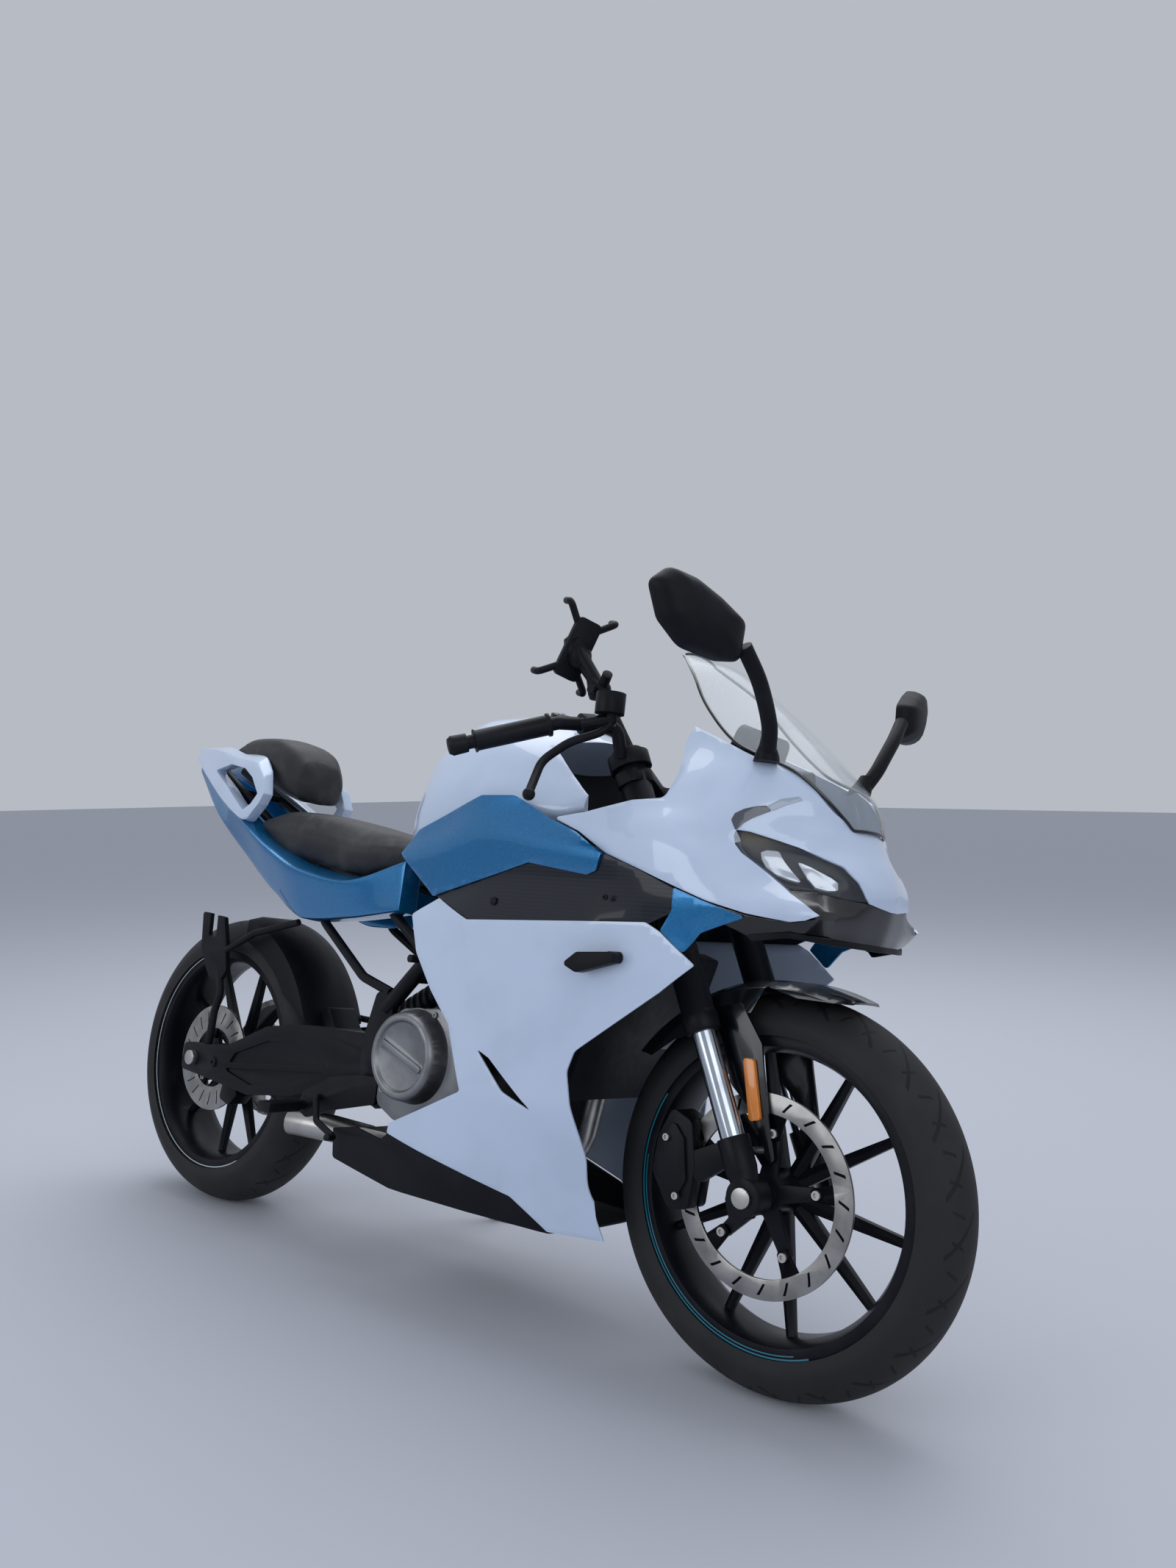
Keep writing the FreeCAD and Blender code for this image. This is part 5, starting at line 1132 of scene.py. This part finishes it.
def mirror_mesh(hand, sweep, layers):
    """Rings of the mirror's outline from its open back to its dome, as (ahead, scale about its middle)."""
    out = Vector((-math.sin(sweep), -math.cos(sweep), 0))
    forward = Vector((math.cos(sweep), -math.sin(sweep), 0))
    root = Vector((1364, -260, 1066))
    middle_u, middle_v = 86, 34
    rings = []
    for ahead_by, scale in layers:
        rings.append([])
        for u, v in rounded_line(MIRROR, 7):
            spot = root + out * (middle_u + (u - middle_u) * scale) + forward * ahead_by
            rings[-1].append(place(spot.x, -hand * spot.y, spot.z + middle_v + (v - middle_v) * scale))
    return ring_mesh("mirror", rings)


for (hand, side), sweep in zip(SIDES, (math.radians(24), math.radians(15))):
    stalk = tube_mesh([(1356, hand * 160, 934), (1368, hand * 186, 976), (1370, hand * 222, 1022),
                       (1364, hand * 266, 1068)], 12, 20)
    boot = loft_round([(1350, hand * 153, 922, 20), (1352, hand * 156, 932, 18), (1354, hand * 160, 944, 13),
                       (1357, hand * 165, 956, 11)])
    whole = joined_mesh([mirror_mesh(hand, sweep, SHELL_LAYERS), stalk, boot])
    node = "mirror_" + side
    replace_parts(finish_mesh(whole, "mirror_shell_" + side, [PLASTIC], node, sharp=50), node)
    finish_mesh(mirror_mesh(hand, sweep, GLASS_LAYERS), "mirror_glass_" + side, [GLASS], node)

# Phone holder: a housing behind the cradle, its ball joint and a thumb screw
housing = loft_round([(902, -70, 1108, 12), (900, -70, 1114, 21), (893, -71, 1138, 25), (887, -72, 1160, 23),
                      (883, -72, 1170, 12)])
joint = loft_round([(942, -67, 1052, 11), (946, -67, 1060, 18), (944, -67, 1074, 19), (936, -68, 1086, 15),
                    (922, -69, 1100, 14), (908, -70, 1114, 12)])
screw = rod_mesh((948, -92, 1066), (946, -44, 1066), 8, 16)
finish_mesh(joined_mesh([housing, joint, screw]), "phone_holder_joint", [PLASTIC], "phone_holder", sharp=50)


# Small parts that repeat, placed by Geometry Nodes
def turned_shape(profile, sides):
    """A small solid turned about z from (radius, z) pairs in millimetres."""
    return ring_mesh("turned", [[(a / 1000, b / 1000, z / 1000) for a, b in circle(r, sides)]
                                for r, z in profile])


def repeat_tree():
    """Puts a shape on every point, turned by the point's own angles, as one plain mesh."""
    tree = bpy.data.node_groups.new("repeat", "GeometryNodeTree")
    for label, direction, kind in (("Spots", "INPUT", "Geometry"), ("Shape", "INPUT", "Object"),
                                   ("Finish", "INPUT", "Material"), ("Size", "INPUT", "Float"),
                                   ("Mesh", "OUTPUT", "Geometry")):
        tree.interface.new_socket(label, in_out=direction, socket_type="NodeSocket" + kind)
    entry = tree.nodes.new("NodeGroupInput")
    leave = tree.nodes.new("NodeGroupOutput")
    shape = tree.nodes.new("GeometryNodeObjectInfo")
    turn = tree.nodes.new("GeometryNodeInputNamedAttribute")
    turn.data_type = "FLOAT_VECTOR"
    turn.inputs["Name"].default_value = "turn"
    onto = tree.nodes.new("GeometryNodeInstanceOnPoints")
    real = tree.nodes.new("GeometryNodeRealizeInstances")
    paint = tree.nodes.new("GeometryNodeSetMaterial")
    for source, given, target, taken in (
            (entry, "Spots", onto, "Points"), (entry, "Shape", shape, "Object"),
            (shape, "Geometry", onto, "Instance"), (turn, "Attribute", onto, "Rotation"),
            (entry, "Size", onto, "Scale"), (onto, "Instances", real, "Geometry"),
            (real, "Geometry", paint, "Geometry"), (entry, "Finish", paint, "Material"),
            (paint, "Geometry", leave, "Mesh")):
        tree.links.new(source.outputs[given], target.inputs[taken])
    return tree


REPEAT = repeat_tree()


def repeated(name, node, spots, shape, material, size=1.0):
    """One shape on every (place, turn matrix), made a plain mesh that rides with the node."""
    cloud = bpy.data.meshes.new("spots")
    cloud.from_pydata([spot for spot, _ in spots], [], [])
    angles = cloud.attributes.new("turn", "FLOAT_VECTOR", "POINT")
    for item, (_, turn) in zip(angles.data, spots):
        item.vector = turn.to_euler()
    carrier = in_scene("carrier", cloud)
    pattern = in_scene("pattern", shape)
    modifier = carrier.modifiers.new("repeat", "NODES")
    modifier.node_group = REPEAT
    given = {"Shape": pattern, "Finish": material, "Size": size}
    for item in REPEAT.interface.items_tree:
        if item.in_out == "INPUT" and item.name in given:
            modifier[item.identifier] = given[item.name]
    mesh = as_plain(carrier)
    bpy.data.objects.remove(pattern)
    return finish_mesh(mesh, name, [material], node)


def facing(direction, along=(0, 0, 1)):
    """A turn that points z along a direction of the upright bike, with x as near another as may be."""
    z_way = (LEANED @ Vector(direction)).normalized()
    x_way = LEANED @ Vector(along)
    x_way = (x_way - z_way * x_way.dot(z_way)).normalized()
    return Matrix((x_way, z_way.cross(x_way), z_way)).transposed()


SOCKET = turned_shape([(6.5, 0), (6.5, 4.2), (6, 5), (3.4, 5), (3.2, 2.2)], 18)
HEX = turned_shape([(8, 0), (8, 4.5), (7.2, 5.4), (4, 5.4)], 6)
OUT_RIGHT = facing((0, -1, 0))
OUT_LEFT = facing((0, 1, 0))


def around(centre, radius, count, phase, side):
    """Places evenly round a circle in side view, from an angle on, all at one side."""
    spots = [on_circle(centre, radius, phase + k * 2 * math.pi / count) for k in range(count)]
    return [(spot.x, side, spot.y) for spot in spots]


FRONT_DISC_BOLTS = around(FRONT_AXLE, 90, 5, math.radians(11), -71.3)
REAR_DISC_BOLTS = around(REAR_AXLE, 50, 5, math.radians(-45), -76.3)
CLUTCH_BOLTS = [(626, -158, 332), (626, -158, 420), (656, -158, 468), (736, -158, 476), (822, -158, 446),
                (836, -158, 350), (724, -158, 296)]
for name, node, spots, turn, shape, material, size in (
        ("front_disc_bolts", "front_disc", FRONT_DISC_BOLTS, OUT_RIGHT, SOCKET, STEEL, 1.1),
        ("rear_disc_bolts", "rear_disc", REAR_DISC_BOLTS, OUT_RIGHT, SOCKET, STEEL, 0.9),
        ("clutch_bolts", "clutch_cover", CLUTCH_BOLTS, OUT_RIGHT, SOCKET, STEEL, 0.8),
        ("generator_bolts", "left_covers", around((800, 385), 66, 6, 0.3, 158), OUT_LEFT, SOCKET, STEEL, 0.8),
        ("sprocket_bolts", "rear_sprocket", around(REAR_AXLE, 50, 5, 0.2, 89.2), OUT_LEFT, HEX, STEEL, 0.9),
        ("caliper_bolts", "front_caliper", [(1206, -104, 350), (1232, -104, 268)], OUT_RIGHT, SOCKET, STEEL,
         0.9),
        ("fairing_bolts_right", "side_insert_right", [(1140, -234, 700)], OUT_RIGHT, SOCKET, METAL, 0.7),
        ("fairing_bolts_left", "side_insert_left", [(1140, 234, 700)], OUT_LEFT, SOCKET, METAL, 0.7)):
    repeated(name, node, [(place(*spot), turn) for spot in spots], shape, material, size)

# Filler cap: a ring with six screws and a hinged lid, set on the tank's top
skin = tank_piece.data
tank_top = BVHTree.FromPolygons([vert.co for vert in skin.vertices],
                                [face.vertices for face in skin.polygons])
cap_spot, cap_way, _, _ = tank_top.ray_cast(place(862, 0, 1250), LEANED @ Vector((0, 0, -1)))
cap_turn = facing(LEANED.inverted() @ cap_way, (1, 0, 0))
CAP = turned_shape([(60, -6), (60, 2.6), (58, 3.6), (45, 3.6), (44, 2.4), (42, 2.4), (41, 4.4), (38, 5.6),
                    (20, 6.4), (1, 6.6)], 64)
repeated("filler_cap", "fuel_tank", [(cap_spot, cap_turn)], CAP, METAL)
screws = [(cap_spot + cap_turn @ Vector((a, b, 0.0034)), cap_turn) for a, b in circle(0.0515, 6)]
repeated("filler_screws", "fuel_tank", screws, SOCKET, STEEL, 0.6)

# Chain: inner and outer links along the loop of the two pitch circles
CHAIN_PITCH = 15.875
CHAIN_LINE = 86
DRIVE = (644, 380)
DRIVE_TEETH = 14
REAR_TEETH = 48
PLATE_RADIUS = 6.4
ROLLER_RADIUS = 4.2
small = CHAIN_PITCH / 2 / math.sin(math.pi / DRIVE_TEETH)
large = CHAIN_PITCH / 2 / math.sin(math.pi / REAR_TEETH)
span = math.hypot(DRIVE[0], DRIVE[1] - REAR_RADIUS)
slope = math.atan2(DRIVE[1] - REAR_RADIUS, DRIVE[0])
swing = math.asin((large - small) / span)
upper, lower = slope + math.pi / 2 - swing, slope - math.pi / 2 + swing
straight = math.sqrt(span * span - (large - small) ** 2)
front_arc, rear_arc = small * (upper - lower), large * (2 * math.pi - (upper - lower))
loop_length = 2 * straight + front_arc + rear_arc


def chain_at(run):
    """Place and heading at a distance round the loop, from the rear sprocket's top forward."""
    if run < straight:
        angle = upper
        spot = on_circle(REAR_AXLE, large, upper).lerp(on_circle(DRIVE, small, upper), run / straight)
    elif run < straight + front_arc:
        angle = upper - (run - straight) / small
        spot = on_circle(DRIVE, small, angle)
    elif run < 2 * straight + front_arc:
        angle = lower
        share = (run - straight - front_arc) / straight
        spot = on_circle(DRIVE, small, lower).lerp(on_circle(REAR_AXLE, large, lower), share)
    else:
        angle = lower - (run - 2 * straight - front_arc) / large
        spot = on_circle(REAR_AXLE, large, angle)
    return spot.x, spot.y, angle - math.pi / 2


def link_shape(half_width, thick):
    """Two waisted side plates and a roller, lying along x with y across."""
    work = bmesh.new()
    outline = []
    for x, z in circle(PLATE_RADIUS, 24):
        x += CHAIN_PITCH / 2 * (1 if x > 0 else -1)
        in_waist = abs(x) < 4
        outline.append((x, z * (0.74 if in_waist else 1)))
    for side in (-half_width, half_width - thick):
        near = [work.verts.new((x / 1000, side / 1000, z / 1000)) for x, z in outline]
        far = [work.verts.new((x / 1000, (side + thick) / 1000, z / 1000)) for x, z in outline]
        work.faces.new(near)
        work.faces.new(far[::-1])
        for k in range(24):
            work.faces.new((near[k], far[k], far[(k + 1) % 24], near[(k + 1) % 24]))
    across = Matrix.Translation((CHAIN_PITCH / 2000, 0, 0)) @ Matrix.Rotation(math.pi / 2, 4, "X")
    bmesh.ops.create_cone(work, cap_ends=True, segments=12, radius1=ROLLER_RADIUS / 1000,
                          radius2=ROLLER_RADIUS / 1000, depth=2 * half_width / 1000, matrix=across)
    bmesh.ops.recalc_face_normals(work, faces=work.faces)
    return written(work, "link")


link_count = 2 * round(loop_length / CHAIN_PITCH / 2)
for name, half_width, odd in (("chain_outer", 6.0, 0), ("chain_inner", 4.6, 1)):
    spots = []
    for index in range(odd, link_count, 2):
        x, z, angle = chain_at((index + 0.5) * loop_length / link_count)
        spots.append((place(x, CHAIN_LINE, z), LEANED @ Matrix.Rotation(-angle, 3, "Y")))
    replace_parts(repeated(name, "chain", spots, link_shape(half_width, 1.3), STEEL), "chain")


# Coloured lines on the rims, as thin raised bands on the right of the flange
def band_mesh(axle, half, inner, outer, start, end):
    """A band between two radii and two angles in degrees, for a rim whose tyre has that half width."""
    start, end = math.radians(start), math.radians(end)
    flange = -(half * 0.8 + 5.6)
    raised = flange - 0.5
    count = max(4, int(abs(end - start) * 26))
    rings = []
    for k in range(count + 1):
        angle = start + (end - start) * k / count
        rings.append([])
        for r, y in ((inner, flange), (outer, flange), (outer, raised), (inner, raised)):
            spot = on_circle(axle, r, angle)
            rings[-1].append(place(spot.x, y, spot.y))
    return ring_mesh("band", rings)


front_bands = [band_mesh(FRONT_AXLE, FRONT_HALF, 226.2, 228.6, 150, 292),
               band_mesh(FRONT_AXLE, FRONT_HALF, 221.6, 223.2, 176, 286)]
finish_mesh(joined_mesh(front_bands), "front_rim_line", [TEAL], "front_rim")
finish_mesh(band_mesh(REAR_AXLE, REAR_HALF, 226.4, 228.6, 96, 300), "rear_rim_line", [PALE], "rear_rim")

# Floor, light and camera
floor_mesh = bpy.data.meshes.new("floor")
floor_mesh.from_pydata([(-30, -30, 0), (30, -30, 0), (30, 30, 0), (-30, 30, 0)], [], [(0, 1, 2, 3)])
floor_mesh.materials.append(Finish("floor_grey", Roughness=0.75, Base_Color=(0.5, 0.52, 0.58)).material)
floor = in_scene("floor", floor_mesh)


def area_light(name, spot, aim, size, power, colour):
    """A soft lamp at a spot, turned to an aim."""
    lamp = bpy.data.lights.new(name, "AREA")
    lamp.shape = "RECTANGLE"
    lamp.size, lamp.size_y = size
    lamp.energy = power
    lamp.color = colour
    holder = in_scene(name, lamp)
    holder.location = spot
    holder.rotation_euler = (Vector(aim) - Vector(spot)).to_track_quat("-Z", "Y").to_euler()


area_light("sky", (-0.5, 1.5, 4.2), (0, 0, 0.4), (5, 4), 120, (0.95, 0.97, 1))
area_light("front_fill", (4.0, -2.5, 2.4), (0, 0, 0.6), (3, 2.4), 34, (0.94, 0.97, 1))
area_light("side_fill", (-1.5, -4.5, 2.2), (0, 0, 0.6), (3.5, 2), 40, (0.94, 0.97, 1))
world = bpy.data.worlds.new("studio")
world.use_nodes = True
sky_shader = world.node_tree.nodes["Background"].inputs
sky_shader["Color"].default_value = (0.86, 0.91, 1.0, 1)
sky_shader["Strength"].default_value = 0.55
bpy.context.scene.world = world
bpy.context.scene.view_settings.view_transform = "Standard"

# the camera's heading, tilt and roll, and its place in metres
yaw, pitch, roll = math.radians(38.75), math.radians(-0.42), math.radians(-0.04)
ahead = Vector((-math.sin(yaw) * math.cos(pitch), math.cos(yaw) * math.cos(pitch), math.sin(pitch)))
right = Vector((math.cos(yaw), math.sin(yaw), 0))
lens = bpy.data.cameras.new("camera")
lens.lens = 28.28
lens.sensor_width = 36
camera = in_scene("camera", lens)
turn = Matrix((right, right.cross(ahead), -ahead)).transposed() @ Matrix.Rotation(roll, 3, "Z")
camera.matrix_world = Matrix.Translation((1.6106, -1.7713, 0.9164)) @ turn.to_4x4()
bpy.context.scene.camera = camera
